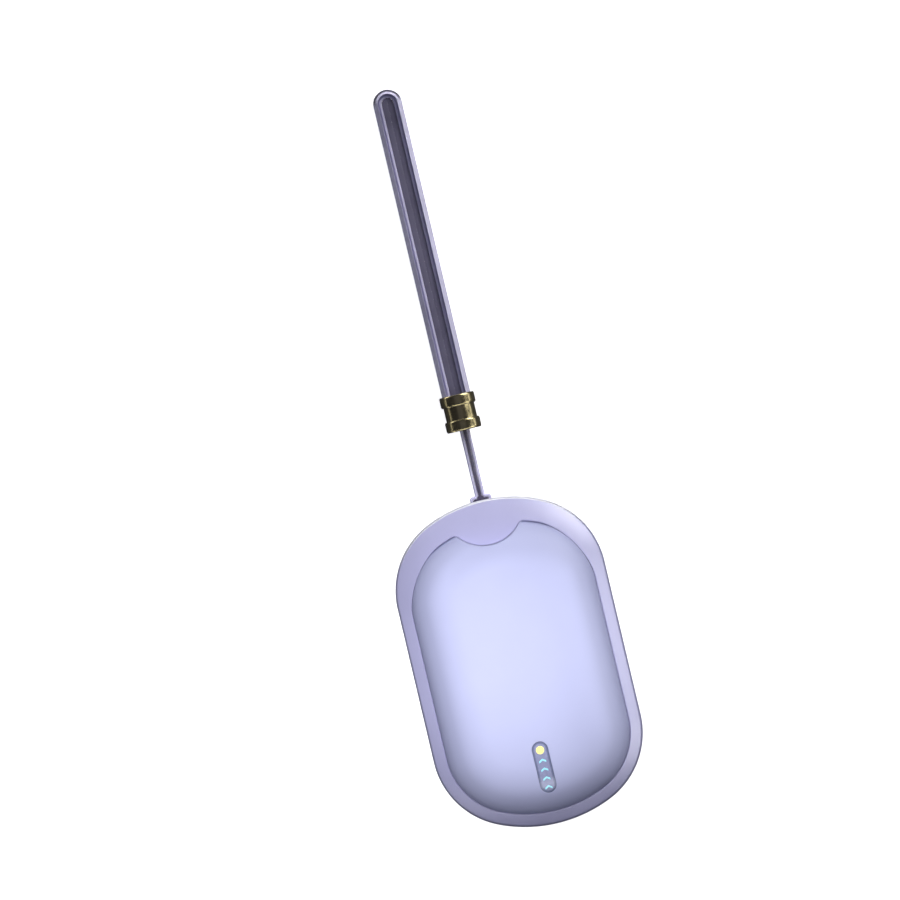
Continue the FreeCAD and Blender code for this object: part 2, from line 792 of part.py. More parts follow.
def strap_pieces():
    """Outer band and lining of the wrist strap."""
    start_y = ferrule_top_y - strap_hold
    tip_y = ferrule_top_y + strap_reach
    half = strap_width / 2
    seam = half - strap_thickness
    band = hairpin(half, seam, strap_depth, start_y, tip_y)
    outer_edges = []
    for edge in band.Edges:
        middle = edge.valueAt((edge.FirstParameter + edge.LastParameter) / 2)
        on_rim = abs(abs(middle.z) - strap_depth / 2) < tolerance and edge.BoundBox.YLength > strap_hold / 2
        on_side = abs(abs(middle.x) - half) < tolerance
        if on_rim and on_side:
            outer_edges.append(edge)
        elif on_rim and abs(middle.y - tip_y) < tolerance:
            outer_edges.append(edge)
    band = band.makeFillet(strap_rounding, outer_edges)
    lining = hairpin(seam, seam - lining_thickness, lining_depth, start_y, tip_y - strap_thickness)
    return laid(band), laid(lining)


os.makedirs("parts", exist_ok=True)

save("rear_shell", rear_shell())
save("front_frame", front_frame())
save("front_panel", front_panel())
ring = panel_prism(0, seat_height, panel_base)
save("panel_gasket", ring.cut(panel_prism(-panel_wall, seat_height, panel_base)))
shank = case_screw_diameter - 2 * thread_gap
save("case_screws", [
    screw(shank, case_screw_length, case_head_diameter, case_head_height, x, y, seat_height, 1) for x, y in bosses()
])

cap, dot, arrows = key_pieces()
save("key_cap", cap)
save("status_window", dot)
save("level_windows", arrows)
switch_case, plunger = switch_pieces()
save("switch_case", switch_case)
save("switch_plunger", plunger)

save("indicator_board", indicator_board())
small_shank = small_screw_diameter - 2 * thread_gap
save("indicator_screws", [
    screw(small_shank, small_screw_length, small_head_diameter, small_head_height, x, y, indicator_base, -1)
    for x, y in posts()
])
save("status_light", box(light_width, light_depth, light_height, 0, dot_y, indicator_top))
arrow_middle = (chevron_rise + chevron_stroke) / 2
save("level_lights", [
    box(light_width, light_depth, light_height, 0, dot_y - chevron_lead - index * chevron_pitch - arrow_middle,
        indicator_top)
    for index in range(chevron_count)
])

save("main_board", main_board())
save("board_screws", [
    screw(small_shank, small_screw_length, small_head_diameter, small_head_height, x, y, board_top, 1)
    for x, y in standoffs()
])
socket_shell, socket_tongue = socket_pieces()
save("socket_shell", socket_shell)
save("socket_tongue", socket_tongue)
power_y = board_edge - power_setback
save("control_chip", box(chip_side, chip_side, chip_height, -power_x, power_y, board_top))
save("power_coil", box(coil_side, coil_side, coil_height, power_x, power_y, board_top))
save("battery_plug", box(plug_width, plug_depth, plug_height, 0, plug_y, board_top))
save("heater_plug", box(heater_plug_width, heater_plug_depth, heater_plug_height, 0, tail_y, board_top))
ribbon_low = board_top + ribbon_plug_height
ribbon_high = indicator_base - ribbon_plug_height
save("ribbon_plugs", [
    box(ribbon_plug_width, ribbon_plug_depth, ribbon_plug_height, 0, ribbon_y, low) for low in (board_top, ribbon_high)
])
save("board_ribbon", box(ribbon_width, ribbon_thickness, ribbon_high - ribbon_low, 0, ribbon_y, ribbon_low))

cells, tabs = cell_pieces()
save("battery_cells", cells)
save("battery_tabs", tabs)
save("battery_lead_plus", battery_lead(1, "battery_lead_plus"))
save("battery_lead_minus", battery_lead(-1, "battery_lead_minus"))
save("rear_heater_film", rear_film())
pad_length = cell_length - 2 * pad_margin
save("rear_pad", box(pad_width, pad_length, pad_thickness, 0, cell_y, wall + film_thickness))
save("front_heat_plate", plate(plate_base, plate_thickness))
save("front_heater_film", front_film())
save("front_pad", front_pad())
save("heat_sensor", box(sensor_width, sensor_depth, sensor_height, 0, sensor_y, film_base - sensor_height))

save("lanyard_anchor", rod(2 * anchor_radius, anchor_low, anchor_high, 0, anchor_y))
save("lanyard_cord", tube("lanyard_cord", lanyard_route(), cord_diameter))
save("lanyard_core", lanyard_core())
save("strap_ferrule", ferrule())
strap_band, strap_lining = strap_pieces()
save("strap_band", strap_band)
save("strap_lining", strap_lining)
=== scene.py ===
"""Pocket hand warmer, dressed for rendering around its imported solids.

A domed lavender case with a lit key lies on its back, with a wrist strap on a doubled cord above it.
The case skins, the ferrule, the cord and the strap are surfaces worked out here, in metres, in the
same frame as the solids: X across the case, Y towards the strap, Z up through the front.
"""
import json
import math
from collections import namedtuple
from contextlib import contextmanager

import bmesh
import bpy
import numpy as np
from bpy.props import FloatProperty, FloatVectorProperty, PointerProperty
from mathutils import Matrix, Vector

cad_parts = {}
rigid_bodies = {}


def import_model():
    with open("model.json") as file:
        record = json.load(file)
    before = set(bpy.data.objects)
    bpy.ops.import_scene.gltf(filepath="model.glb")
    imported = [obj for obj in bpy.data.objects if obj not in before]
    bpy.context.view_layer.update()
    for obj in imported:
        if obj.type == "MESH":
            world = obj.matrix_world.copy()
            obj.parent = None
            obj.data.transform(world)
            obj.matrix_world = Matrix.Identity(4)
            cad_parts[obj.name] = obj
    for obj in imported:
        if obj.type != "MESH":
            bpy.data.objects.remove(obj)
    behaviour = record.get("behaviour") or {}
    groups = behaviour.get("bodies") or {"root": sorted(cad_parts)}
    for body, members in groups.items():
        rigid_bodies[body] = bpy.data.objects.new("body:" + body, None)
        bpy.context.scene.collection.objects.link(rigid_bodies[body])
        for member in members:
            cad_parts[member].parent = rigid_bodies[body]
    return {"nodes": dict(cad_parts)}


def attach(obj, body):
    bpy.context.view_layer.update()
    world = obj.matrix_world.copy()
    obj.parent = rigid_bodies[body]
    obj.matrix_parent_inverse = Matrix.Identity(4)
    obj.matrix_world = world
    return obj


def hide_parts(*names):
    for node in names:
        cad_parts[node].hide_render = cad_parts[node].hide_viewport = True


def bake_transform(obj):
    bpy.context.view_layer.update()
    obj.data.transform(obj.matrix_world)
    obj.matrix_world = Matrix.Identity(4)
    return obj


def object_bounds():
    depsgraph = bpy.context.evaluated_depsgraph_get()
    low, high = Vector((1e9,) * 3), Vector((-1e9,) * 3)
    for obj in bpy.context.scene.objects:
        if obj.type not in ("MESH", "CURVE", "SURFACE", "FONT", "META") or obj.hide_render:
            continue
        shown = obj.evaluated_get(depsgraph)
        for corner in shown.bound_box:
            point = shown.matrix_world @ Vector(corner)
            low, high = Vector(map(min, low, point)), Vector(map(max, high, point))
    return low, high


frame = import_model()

bl_info = {
    "name": "Pocket Hand Warmer",
    "version": (1, 0, 0),
    "blender": (4, 5, 0),
    "location": "View3D > Sidebar > Hand Warmer",
    "description": "Builds the skins, cord and strap of a pocket hand warmer around its solids",
    "category": "Object",
}

MM = 0.001
UP = np.array([0.0, 0.0, 1.0])
CASE_SHARP, STRAP_SHARP, METAL_SHARP = math.radians(35), math.radians(40), math.radians(50)
SHOULDER_ROWS, SLOPE_ROWS, EDGE_ROWS, DOME_ROWS, LIP_ROWS, BACK_ROWS = 7, 28, 7, 64, 6, 24
CORD_SIDES, FERRULE_SIDES = 20, 128
EDGE_SPACING, CORD_SPACING, GAP_SHADE_SPACING, STRAP_SPACING = 0.5 * MM, 0.25 * MM, 0.1 * MM, 0.5 * MM
CORD_RESOLUTION, STRAP_RESOLUTION = 24, 48
DOME_CROWDING = 1.6
CAD_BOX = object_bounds()
Outline = namedtuple("Outline", "width length end_radius corner_radius centre_y")


# Settings

def length(label, millimetres, note):
    """Length property that is written in millimetres and kept in metres."""
    return FloatProperty(name=label, description=note, default=millimetres * MM, unit="LENGTH", precision=5)


def amount(label, value, note):
    """Plain number property."""
    return FloatProperty(name=label, description=note, default=value, precision=3)


def tint(label, note, red, green, blue):
    """Colour property in linear light."""
    return FloatVectorProperty(name=label, description=note, subtype="COLOR", size=3, min=0.0, max=1.0,
                               default=(red, green, blue))


class CaseSettings(bpy.types.PropertyGroup):
    """Sizes of the case skins."""
    body_length: length("Case length", 95.0, "Length of the case's outline")
    body_width: length("Case width", 60.8, "Width of the case's outline")
    end_radius: length("End radius", 40.6, "Radius of the outline's two ends")
    corner_radius: length("Corner radius", 23.5, "Radius between an end and a straight side")
    wall: length("Wall", 2.0, "Thickness of the shell and the frame")
    parting: length("Parting height", 11.0, "Height of the seam between shell and frame")
    frame_run: length("Frame run", 16.3, "How far the frame's slope reaches inwards")
    frame_rise: length("Frame rise", 5.4, "How high the frame climbs above its shoulder")
    shoulder_rise: length("Shoulder rise", 3.44, "Height of the frame's upright side above the seam")
    shoulder_radius: length("Shoulder radius", 0.7, "Rounding between the frame's side and its rim")
    flank: length("Flank width", 0.40, "Width of the steep flank below the shoulder")
    flank_lean: FloatProperty(name="Flank lean", description="Steepness of the flank below the shoulder",
                              default=math.radians(75), subtype="ANGLE")
    seat: length("Seat height", 14.8, "Height of the ledge that carries the panel")
    ledge_width: length("Ledge width", 1.5, "How far the ledge reaches under the panel")
    ledge_base: length("Ledge base", 13.0, "Height of the ledge's underside")
    rim_width: length("Rim width", 3.75, "Frame left showing beside and below the panel")
    setback: length("Panel setback", 7.0, "Frame left showing above the panel")
    gap: length("Panel gap", 0.2, "Open joint between the panel and the frame")
    panel_base: length("Panel base", 15.1, "Height of the panel's lower edge")
    panel_edge: length("Panel edge", 15.5, "Height where the panel's dome starts")
    panel_run: length("Panel run", 13.5, "How far the dome's rounding reaches inwards")
    panel_rise: length("Panel rise", 10.5, "How high the dome climbs")
    panel_wall: length("Panel wall", 1.6, "Thickness of the panel")
    scoop_radius: length("Scoop radius", 11.7, "Radius of the finger scoop in the panel's end")
    scoop_depth: length("Scoop depth", 13.1, "Depth of the scoop from the case's end")
    ear_radius: length("Ear radius", 1.7, "Rounding of the panel's ears beside the scoop")
    softness: length("Edge softness", 0.16, "Rounding of the moulded edges")
    draw: length("Corner draw", 0.58, "How far the panel's edge is drawn in at its two upper corners")
    close: length("Corner joint", 0.14, "How far the joint is closed up at the panel's two upper corners")
    brow: length("Brow rounding", 0.20, "Rounding of the frame's edge beside the panel")
    scoop_softness: length("Scoop softness", 0.5, "Rounding of the panel's edge over the scoop")
    seam: length("Seam bevel", 0.14, "Bevel at the seam between shell and frame")
    key_y: length("Key place", -30.9, "Middle of the key along the case")
    key_length: length("Key length", 14.9, "Length of the key's opening")
    key_width: length("Key width", 4.64, "Width of the key's opening")
    border_start: length("Border start", 0.85, "Distance from the key's rim where its dark border starts")
    border_full: length("Border full", 0.35, "Distance from the key's rim where its border is darkest")
    well_base: length("Well base", 20.7, "Height of the key well's lower edge")
    well_wall: length("Well wall", 1.2, "Thickness of the key well's wall")


class StrapSettings(bpy.types.PropertyGroup):
    """Sizes of the lanyard cord, the ferrule and the strap."""
    cord_diameter: length("Cord diameter", 0.95, "Diameter of one strand of the cord")
    cord_twist: length("Cord twist", 1.6, "Length along the cord in which its yarns move on by one")
    # The dark tape between the strands stands in for the shade in the gap between them: painted shade.
    gap_shade_width: length("Core width", 0.98, "Width of the dark tape between the strands")
    gap_shade_thickness: length("Core thickness", 1.0, "Thickness of the dark tape")
    gap_shade_foot: length("Core foot", 4.6, "Width of the tape where the strands part at the case")
    gap_shade_neck: length("Core neck", 2.2, "Width of the tape just above its foot")
    ferrule_y: length("Ferrule place", 68.1, "Lower end of the ferrule along the case's axis")
    ferrule_length: length("Ferrule length", 10.4, "Length of the ferrule")
    ferrule_diameter: length("Ferrule diameter", 10.2, "Diameter of the ferrule's two flanges")
    ferrule_waist: length("Ferrule waist", 9.0, "Diameter between the flanges")
    ferrule_flange: length("Flange length", 3.15, "Length of one flange")
    ferrule_bore: length("Ferrule bore", 8.7, "Diameter of the mouth that holds the strap")
    strap_width: length("Strap width", 8.3, "Width over both runs of the folded strap")
    strap_reach: length("Strap reach", 89.7, "Length of the strap outside the ferrule")
    strap_hold: length("Strap hold", 6.0, "Length of the strap inside the ferrule")
    strap_depth: length("Strap depth", 5.0, "Depth of the strap, which stands on its edge")
    strap_thickness: length("Band thickness", 2.65, "Thickness of the outer band")
    lining_depth: length("Lining depth", 2.6, "Depth of the lining between the runs")
    lining_width: length("Lining width", 3.4, "Width over both runs of the lining")
    strap_tilt: FloatProperty(name="Strap tilt", description="How far the strap leans down to the ground",
                              default=math.radians(1.63), subtype="ANGLE")


class FinishSettings(bpy.types.PropertyGroup):
    """Colours of the outside, in linear light, and the glow of its lights."""
    panel: tint("Panel", "Soft-touch lavender of the front panel", 0.600, 0.628, 0.900)
    case: tint("Case", "Lavender of the frame and the shell", 0.480, 0.474, 0.712)
    # Painted shade: a deeper colour laid on the panel where its slopes fall to the edge and where they face
    # the strap's end.
    shoulder: tint("Panel shoulder", "Deeper colour where the panel falls to its edge", 0.516, 0.540, 0.780)
    # Painted highlight, not a polished line: a pale colour laid on the case's shoulder where it faces the
    # strap's end.
    edge: tint("Case edge", "Polished line on the shoulder that faces the strap", 0.93, 0.93, 0.98)
    groove: tint("Groove", "Joint round the panel", 0.180, 0.175, 0.330)
    key: tint("Key", "Smoked face of the key", 0.360, 0.383, 0.590)
    key_border: tint("Key border", "Dark border of the key", 0.200, 0.225, 0.370)
    status: tint("Status light", "Pale yellow window", 0.880, 0.800, 0.275)
    level: tint("Level lights", "Pale cyan windows", 0.318, 0.700, 0.800)
    cord: tint("Cord", "Lavender grey of the lanyard cord", 0.625, 0.602, 0.800)
    band: tint("Strap band", "Lavender of the strap", 0.630, 0.605, 0.780)
    # Painted shade: a dark colour laid on the band's outer edge at the fold, where the end wall is in
    # shade.
    fold_shade: tint("Strap fold", "Dark outer edge of the band where it folds back", 0.060, 0.055, 0.085)
    lining: tint("Strap lining", "Dark purple grey between the runs", 0.136, 0.123, 0.194)
    # Painted shade: the colour of the dark tape that fills the gap between the strands, where there is only
    # shade.
    core: tint("Cord core", "Dark purple grey between the strands", 0.064, 0.054, 0.098)
    bronze: tint("Ferrule", "Dark antique bronze", 0.185, 0.158, 0.085)
    status_glow: amount("Status glow", 0.70, "Strength of the status light")
    level_glow: amount("Level glow", 0.52, "Strength of the level lights")


class StageSettings(bpy.types.PropertyGroup):
    """Camera, lamps and floor."""
    roll: FloatProperty(name="Camera roll", description="Lean of the case's axis in the picture",
                        default=math.radians(-13.27), subtype="ANGLE")
    view_x: length("View middle X", -5.36, "Middle of the picture across the case")
    view_y: length("View middle Y", 63.5, "Middle of the picture along the case")
    view_width: length("View width", 257.5, "Width of the picture at the middle of the case's height")
    distance: length("Camera height", 12000.0, "Height of the camera above the floor")
    front_light: amount("Front light", 0.95, "Level of the round lamp over the case")
    front_reach: length("Front light reach", 61.3, "Distance from its middle where the front light ends")
    side_light: amount("Side light", 0.27, "Level of the lamp from the right")
    crest_reach: length("Crest light reach", 44.0, "Distance from its middle where the crest light ends")
    crest_light: amount("Crest light", 0.88, "Level of the lamp on the case's end below the strap")
    strap_light: amount("Strap light", 0.265, "Level of the lamp on the strap")
    strap_fill: amount("Strap fill", 0.1325, "Level of the lamp on the strap from the left")
    strap_reach: length("Strap light reach", 85.0, "Distance from their middle where both lights end")
    sky: amount("Sky", 0.13, "Level of the light from all sides")


# Outlines in plan

def body_outline(case):
    """Outline of the case seen from the front."""
    return Outline(case.body_width, case.body_length, case.end_radius, case.corner_radius, 0.0)


def panel_outline(case):
    """Outline of the front panel without its scoop: the case's outline moved inwards."""
    rim = case.rim_width
    return Outline(case.body_width - 2 * rim, case.body_length - rim - case.setback, case.end_radius - rim,
                   case.corner_radius - rim, (rim - case.setback) / 2)


def centres(shape):
    """Corner centre x and y, end centre y, and the angle where the corner arc meets the end arc."""
    corner_x = shape.width / 2 - shape.corner_radius
    end_y = shape.length / 2 - shape.end_radius
    corner_y = end_y + math.sqrt((shape.end_radius - shape.corner_radius) ** 2 - corner_x ** 2)
    return corner_x, corner_y, end_y, math.atan2(corner_y - end_y, corner_x)


def outline_segments(shape):
    """Straight sides and three-arc ends, counterclockwise.

    Each segment is a centre that moves from one place to another, a radius, an angle that turns from
    one value to another, and 1 where the material lies inside the arc or -1 where it lies outside.
    """
    corner_x, corner_y, end_y, lean = centres(shape)
    half, middle = shape.width / 2, shape.centre_y
    high, low = middle + corner_y, middle - corner_y
    turn = math.pi
    return [
        (half, low, half, high, 0, 0, 0, 1),
        (corner_x, high, corner_x, high, shape.corner_radius, 0, lean, 1),
        (0, middle + end_y, 0, middle + end_y, shape.end_radius, lean, turn - lean, 1),
        (-corner_x, high, -corner_x, high, shape.corner_radius, turn - lean, turn, 1),
        (-half, high, -half, low, 0, turn, turn, 1),
        (-corner_x, low, -corner_x, low, shape.corner_radius, turn, turn + lean, 1),
        (0, middle - end_y, 0, middle - end_y, shape.end_radius, turn + lean, 2 * turn - lean, 1),
        (corner_x, low, corner_x, low, shape.corner_radius, 2 * turn - lean, 2 * turn, 1),
    ]


def scooped_segments(shape, scoop_radius, scoop_y, ear_radius):
    """The outline with a round scoop in its upper end and two ears rounded into it.

    An ear's centre is as far inside the end arc, and as far outside the scoop, as the ear's radius.
    """
    segments = outline_segments(shape)
    end_y = segments[2][1]
    lean = segments[2][5]
    to_end, to_scoop, apart = shape.end_radius - ear_radius, scoop_radius + ear_radius, scoop_y - end_y
    rise = (to_end ** 2 - to_scoop ** 2 + apart ** 2) / (2 * apart)
    ear_x, ear_y = math.sqrt(to_end ** 2 - rise ** 2), end_y + rise
    start = math.atan2(rise, ear_x)
    dip = math.atan2(ear_y - scoop_y, ear_x)
    turn = math.pi
    segments[2:3] = [
        (0, end_y, 0, end_y, shape.end_radius, lean, start, 1),
        (ear_x, ear_y, ear_x, ear_y, ear_radius, start, dip + turn, 1),
        (0, scoop_y, 0, scoop_y, scoop_radius, dip, -turn - dip, -1),
        (-ear_x, ear_y, -ear_x, ear_y, ear_radius, -dip, turn - start, 1),
        (0, end_y, 0, end_y, shape.end_radius, turn - start, turn - lean, 1),
    ]
    return segments


def walk(segments, step, turn_step=math.radians(3)):
    """Points and outward normals along a closed run of segments: centre + radius * direction."""
    table = np.array(segments, float)
    travel = np.hypot(table[:, 2] - table[:, 0], table[:, 3] - table[:, 1])
    turn = np.abs(table[:, 6] - table[:, 5])
    counts = np.ceil(np.maximum((travel + table[:, 4] * turn) / step, turn / turn_step)).astype(int)
    which = np.repeat(np.arange(len(table)), counts)
    share = (np.arange(counts.sum()) - np.repeat(np.cumsum(counts) - counts, counts)) / counts[which]
    part = table[which]
    angle = part[:, 5] + (part[:, 6] - part[:, 5]) * share
    direction = np.stack([np.cos(angle), np.sin(angle)], 1)
    centre = part[:, 0:2] + (part[:, 2:4] - part[:, 0:2]) * share[:, None]
    return centre + part[:, 4:5] * direction, part[:, 7:8] * direction


def inset_of(shape, points):
    """How far points lie inside an outline, and the outline's outward normal there.

    Beside the straight sides it is half the width less |x|.  In a corner's or an end's sector it is
    that arc's radius less the distance to its centre.
    """
    corner_x, corner_y, end_y, lean = centres(shape)
    x, y = points[..., 0], points[..., 1] - shape.centre_y
    side_x, side_y = np.where(x < 0, -1.0, 1.0), np.where(y < 0, -1.0, 1.0)
    across, along = np.abs(x), np.abs(y)
    angle = np.arctan2(along - corner_y, across - corner_x)
    beside = along <= corner_y
    corner = ~beside & (across > corner_x) & (angle < lean)
    from_x = np.where(beside, across, np.where(corner, across - corner_x, across))
    from_y = np.where(beside, 0.0, np.where(corner, along - corner_y, along - end_y))
    reach = np.where(beside, shape.width / 2, np.where(corner, shape.corner_radius, shape.end_radius))
    away = np.maximum(np.hypot(from_x, from_y), 1e-9)
    normal = np.stack([side_x * from_x / away, side_y * from_y / away], -1)
    return reach - away, normal


def panel_edge(case):
    """Edge of the panel with its scoop, the edge of the frame round it, and the outward normal.

    The edge is drawn in by draw * sin(pi * turn) at the two upper corners, where the dome only comes up
    beside the frame's slope a little inside, and the open joint is closed up by the same share; turn
    runs from 0 to 1 along the corner's arc.
    """
    shape = panel_outline(case)
    scoop_y = case.body_length / 2 - case.scoop_depth + case.scoop_radius
    edge, out = walk(scooped_segments(shape, case.scoop_radius, scoop_y, case.ear_radius), EDGE_SPACING)
    corner_x, corner_y, _, lean = centres(shape)
    turn = np.arctan2(edge[:, 1] - shape.centre_y - corner_y, np.abs(edge[:, 0]) - corner_x) / lean
    share = np.sin(math.pi * np.clip(turn, 0, 1))[:, None]
    edge = edge - out * case.draw * share
    return edge, edge + out * (case.gap - case.close * share), out


def rounding(inset, run, rise):
    """Quarter ellipse: height over its foot at an inset from the edge."""
    share = 1 - np.clip(inset / run, 0, 1)
    return rise * np.sqrt(1 - share ** 2)


def raised(plan, level):
    """Points in plan put at a level, or at a level each."""
    return np.concatenate([plan, np.broadcast_to(level, plan.shape[:-1])[..., None]], -1)


def unit(vectors):
    """Vectors of length 1."""
    return vectors / np.linalg.norm(vectors, axis=1, keepdims=True)


def quarter(steps):
    """Angles of a quarter turn, one to a row."""
    return np.linspace(0, math.pi / 2, steps)[:, None]


def rolled(edge, inward, radius, angles, height):
    """Rows of a rounded edge.

    In plan they lie at edge + inward * radius * (1 - sin), and radius * (1 - cos) below the height there.
    """
    plan = edge[None] + inward[None] * (radius * (1 - np.sin(angles)))[..., None]
    return raised(plan, height(plan) - radius * (1 - np.cos(angles)))


# Meshes

def stacked(*rows):
    """One grid of points from rows that are given one by one or several at once."""
    return np.concatenate([row if row.ndim == 3 else row[None] for row in rows])


def grid_faces(rows, columns, rows_close, columns_close):
    """Quads of a grid of points whose rows, columns or both close on themselves."""
    index = np.arange(rows * columns).reshape(rows, columns)
    right = np.roll(index, -1, 1)
    up = np.roll(index, -1, 0)
    across = np.roll(right, -1, 0)
    faces = np.stack([index, right, across, up], -1)
    return faces[:rows - (not rows_close), :columns - (not columns_close)].reshape(-1, 4)


@contextmanager
def opened(mesh):
    """Editable copy of a mesh, which is written back at the end."""
    shell = bmesh.new()
    shell.from_mesh(mesh)
    yield shell
    shell.to_mesh(mesh)
    shell.free()


def shown(mesh, sharp):
    """Object at the origin with a mesh, shaded smooth except at edges sharper than an angle."""
    mesh.polygons.foreach_set("use_smooth", np.ones(len(mesh.polygons), bool))
    if sharp is not None:
        mesh.set_sharp_from_angle(angle=sharp)
    mesh.update()
    made = bpy.data.objects.new(mesh.name, mesh)
    bpy.context.scene.collection.objects.link(made)
    return made


def piece(name, points, closed, sharp=None):
    """Object from a grid of points whose rows and columns close or not, with its doubles merged."""
    mesh = bpy.data.meshes.new(name)
    faces = grid_faces(*points.shape[:2], *closed)
    mesh.from_pydata(points.reshape(-1, 3).tolist(), [], faces.tolist())
    with opened(mesh) as shell:
        bmesh.ops.remove_doubles(shell, verts=shell.verts, dist=1e-7)
        bmesh.ops.dissolve_degenerate(shell, edges=shell.edges, dist=1e-8)
    return shown(mesh, sharp)


def spline_line(name, controls, resolution, spacing):
    """Points at an even spacing along a NURBS spline of order 3 with the given control points.

    The distances of the points along the line are given back too.
    """
    curve = bpy.data.curves.new(name, "CURVE")
    curve.dimensions = "3D"
    curve.resolution_u = resolution
    spline = curve.splines.new("NURBS")
    spline.points.add(len(controls) - 1)
    spline.points.foreach_set("co", np.column_stack([controls, np.ones(len(controls))]).ravel())
    spline.order_u = 3
    spline.use_endpoint_u = True
    holder = bpy.data.objects.new(name, curve)
    bpy.context.scene.collection.objects.link(holder)
    depsgraph = bpy.context.evaluated_depsgraph_get()
    mesh = bpy.data.meshes.new_from_object(holder.evaluated_get(depsgraph))
    points = np.empty(len(mesh.vertices) * 3)
    mesh.vertices.foreach_get("co", points)
    bpy.data.objects.remove(holder)
    bpy.data.curves.remove(curve)
    bpy.data.meshes.remove(mesh)
    points = points.reshape(-1, 3)
    travel = np.concatenate([[0.0], np.cumsum(np.linalg.norm(np.diff(points, axis=0), axis=1))])
    places = np.linspace(0, travel[-1], int(math.ceil(travel[-1] / spacing)) + 1)
    return np.stack([np.interp(places, travel, points[:, axis]) for axis in range(3)], 1), places


def sweep(name, line, places, upright, profile, sharp=None, widths=None):
    """Closed profile carried along a line: point + width * u * outward + v * upright, with flat end caps.

    Outward is the line's tangent crossed with upright, and the width is 1 unless it is given for each
    point of the line.  The UV map holds the share of the way round the profile and the distance along
    the line.
    """
    tangent = unit(np.gradient(line, axis=0))
    outward = unit(np.cross(tangent, upright))
    lifted = np.cross(outward, tangent)
    if widths is not None:
        outward = outward * widths[:, None]
    points = line[:, None] + outward[:, None] * profile[:, :1] + lifted[:, None] * profile[:, 1:]
    rows, columns = points.shape[:2]
    faces = grid_faces(rows, columns, False, True)
    caps = [np.arange(columns)[::-1], np.arange(columns) + (rows - 1) * columns]
    mesh = bpy.data.meshes.new(name)
    mesh.from_pydata(points.reshape(-1, 3).tolist(), [], faces.tolist() + [cap.tolist() for cap in caps])
    sides = np.empty((rows - 1, columns, 4, 2))
    sides[..., 0] = np.arange(columns)[:, None] / columns + np.array([0, 1, 1, 0]) / columns
    sides[..., 1] = np.stack([places[:-1], places[:-1], places[1:], places[1:]], -1)[:, None]
    ends = np.zeros((2 * columns, 2))
    layer = mesh.uv_layers.new(name="around_along")
    layer.data.foreach_set("uv", np.concatenate([sides.reshape(-1, 2), ends]).astype(np.float32).ravel())
    with opened(mesh) as shell:
        bmesh.ops.recalc_face_normals(shell, faces=shell.faces)
    return shown(mesh, sharp)


def softened(corners, radii, steps=6, closed=True):
    """Polygon whose corners are rounded: each is a quadratic curve between points beside the corner.

    Those points lie at the corner's radius, or at 0.48 of the shorter side where that is less.
    """
    corners, radii = np.array(corners, float), np.array(radii, float)
    before, after = np.roll(corners, 1, 0) - corners, np.roll(corners, -1, 0) - corners
    short = np.minimum(np.linalg.norm(before, axis=1), np.linalg.norm(after, axis=1))
    reach = np.minimum(radii, 0.48 * short)[:, None]
    start, stop = corners + unit(before) * reach, corners + unit(after) * reach
    share = np.linspace(0, 1, steps)[:, None]
    rest = 1 - share
    curve = rest ** 2 * start[:, None] + 2 * share * rest * corners[:, None] + share ** 2 * stop[:, None]
    if not closed:
        curve[0], curve[-1] = corners[0], corners[-1]
    return curve.reshape(-1, 2)


# Materials

def put(tree, kind, inputs=None, **settings):
    """Node of a kind with its settings; an input is a value, or a socket to link from."""
    made = tree.nodes.new(kind)
    for key, value in settings.items():
        setattr(made, key, value)
    for key, value in (inputs or {}).items():
        if isinstance(value, bpy.types.NodeSocket):
            tree.links.new(value, made.inputs[key])
        else:
            made.inputs[key].default_value = value
    return made


def calc(tree, operation, *values):
    """Result of a math node."""
    return put(tree, "ShaderNodeMath", dict(enumerate(values)), operation=operation).outputs[0]


def span(tree, value, low, high, start=0.0, stop=1.0, soft=False):
    """Value moved from the span low to high into the span start to stop, eased at both ends if soft."""
    limits = {"Value": value, "From Min": low, "From Max": high, "To Min": start, "To Max": stop}
    easing = "SMOOTHSTEP" if soft else "LINEAR"
    return put(tree, "ShaderNodeMapRange", limits, interpolation_type=easing).outputs[0]


def blended(tree, share, first, second, **settings):
    """Colour between two colours by a share."""
    inputs = {"Factor": share, 6: first, 7: second}
    return put(tree, "ShaderNodeMix", inputs, data_type="RGBA", **settings).outputs[2]


def noise(tree, place, scale, detail, roughness=0.5):
    """Value of a noise texture."""
    inputs = {"Vector": place, "Scale": scale, "Detail": detail, "Roughness": roughness}
    return put(tree, "ShaderNodeTexNoise", inputs).outputs["Fac"]


def coordinates(tree, kind):
    """Texture coordinates of a kind."""
    return put(tree, "ShaderNodeTexCoord").outputs[kind]


def parts_of(tree, vector):
    """X, Y and Z of a vector."""
    return put(tree, "ShaderNodeSeparateXYZ", {0: vector}).outputs


def swept_place(tree):
    """Share of the way round a swept piece's profile (X) and distance along its line (Y)."""
    return parts_of(tree, put(tree, "ShaderNodeUVMap", uv_map="around_along").outputs[0])


def moulded_grain(tree, place, given):
    """Moulded and painted surfaces: slow mottling, and a fine even grain for the bump."""
    mottle = noise(tree, place, given["Mottle Scale"], 3.0, 0.55)
    return mottle, noise(tree, place, given["Grain Scale"], 2.0, 0.6)


def leather_grain(tree, place, given):
    """Leather: slow mottling, and pebbles from cell distances, broken up by noise."""
    scale = given["Pebble Scale"]
    cells = put(tree, "ShaderNodeTexVoronoi", {"Vector": place, "Scale": scale}, feature="SMOOTH_F1")
    pebbles = calc(tree, "SUBTRACT", noise(tree, place, scale, 3.0), cells.outputs["Distance"])
    return noise(tree, place, given["Mottle Scale"], 4.0), pebbles


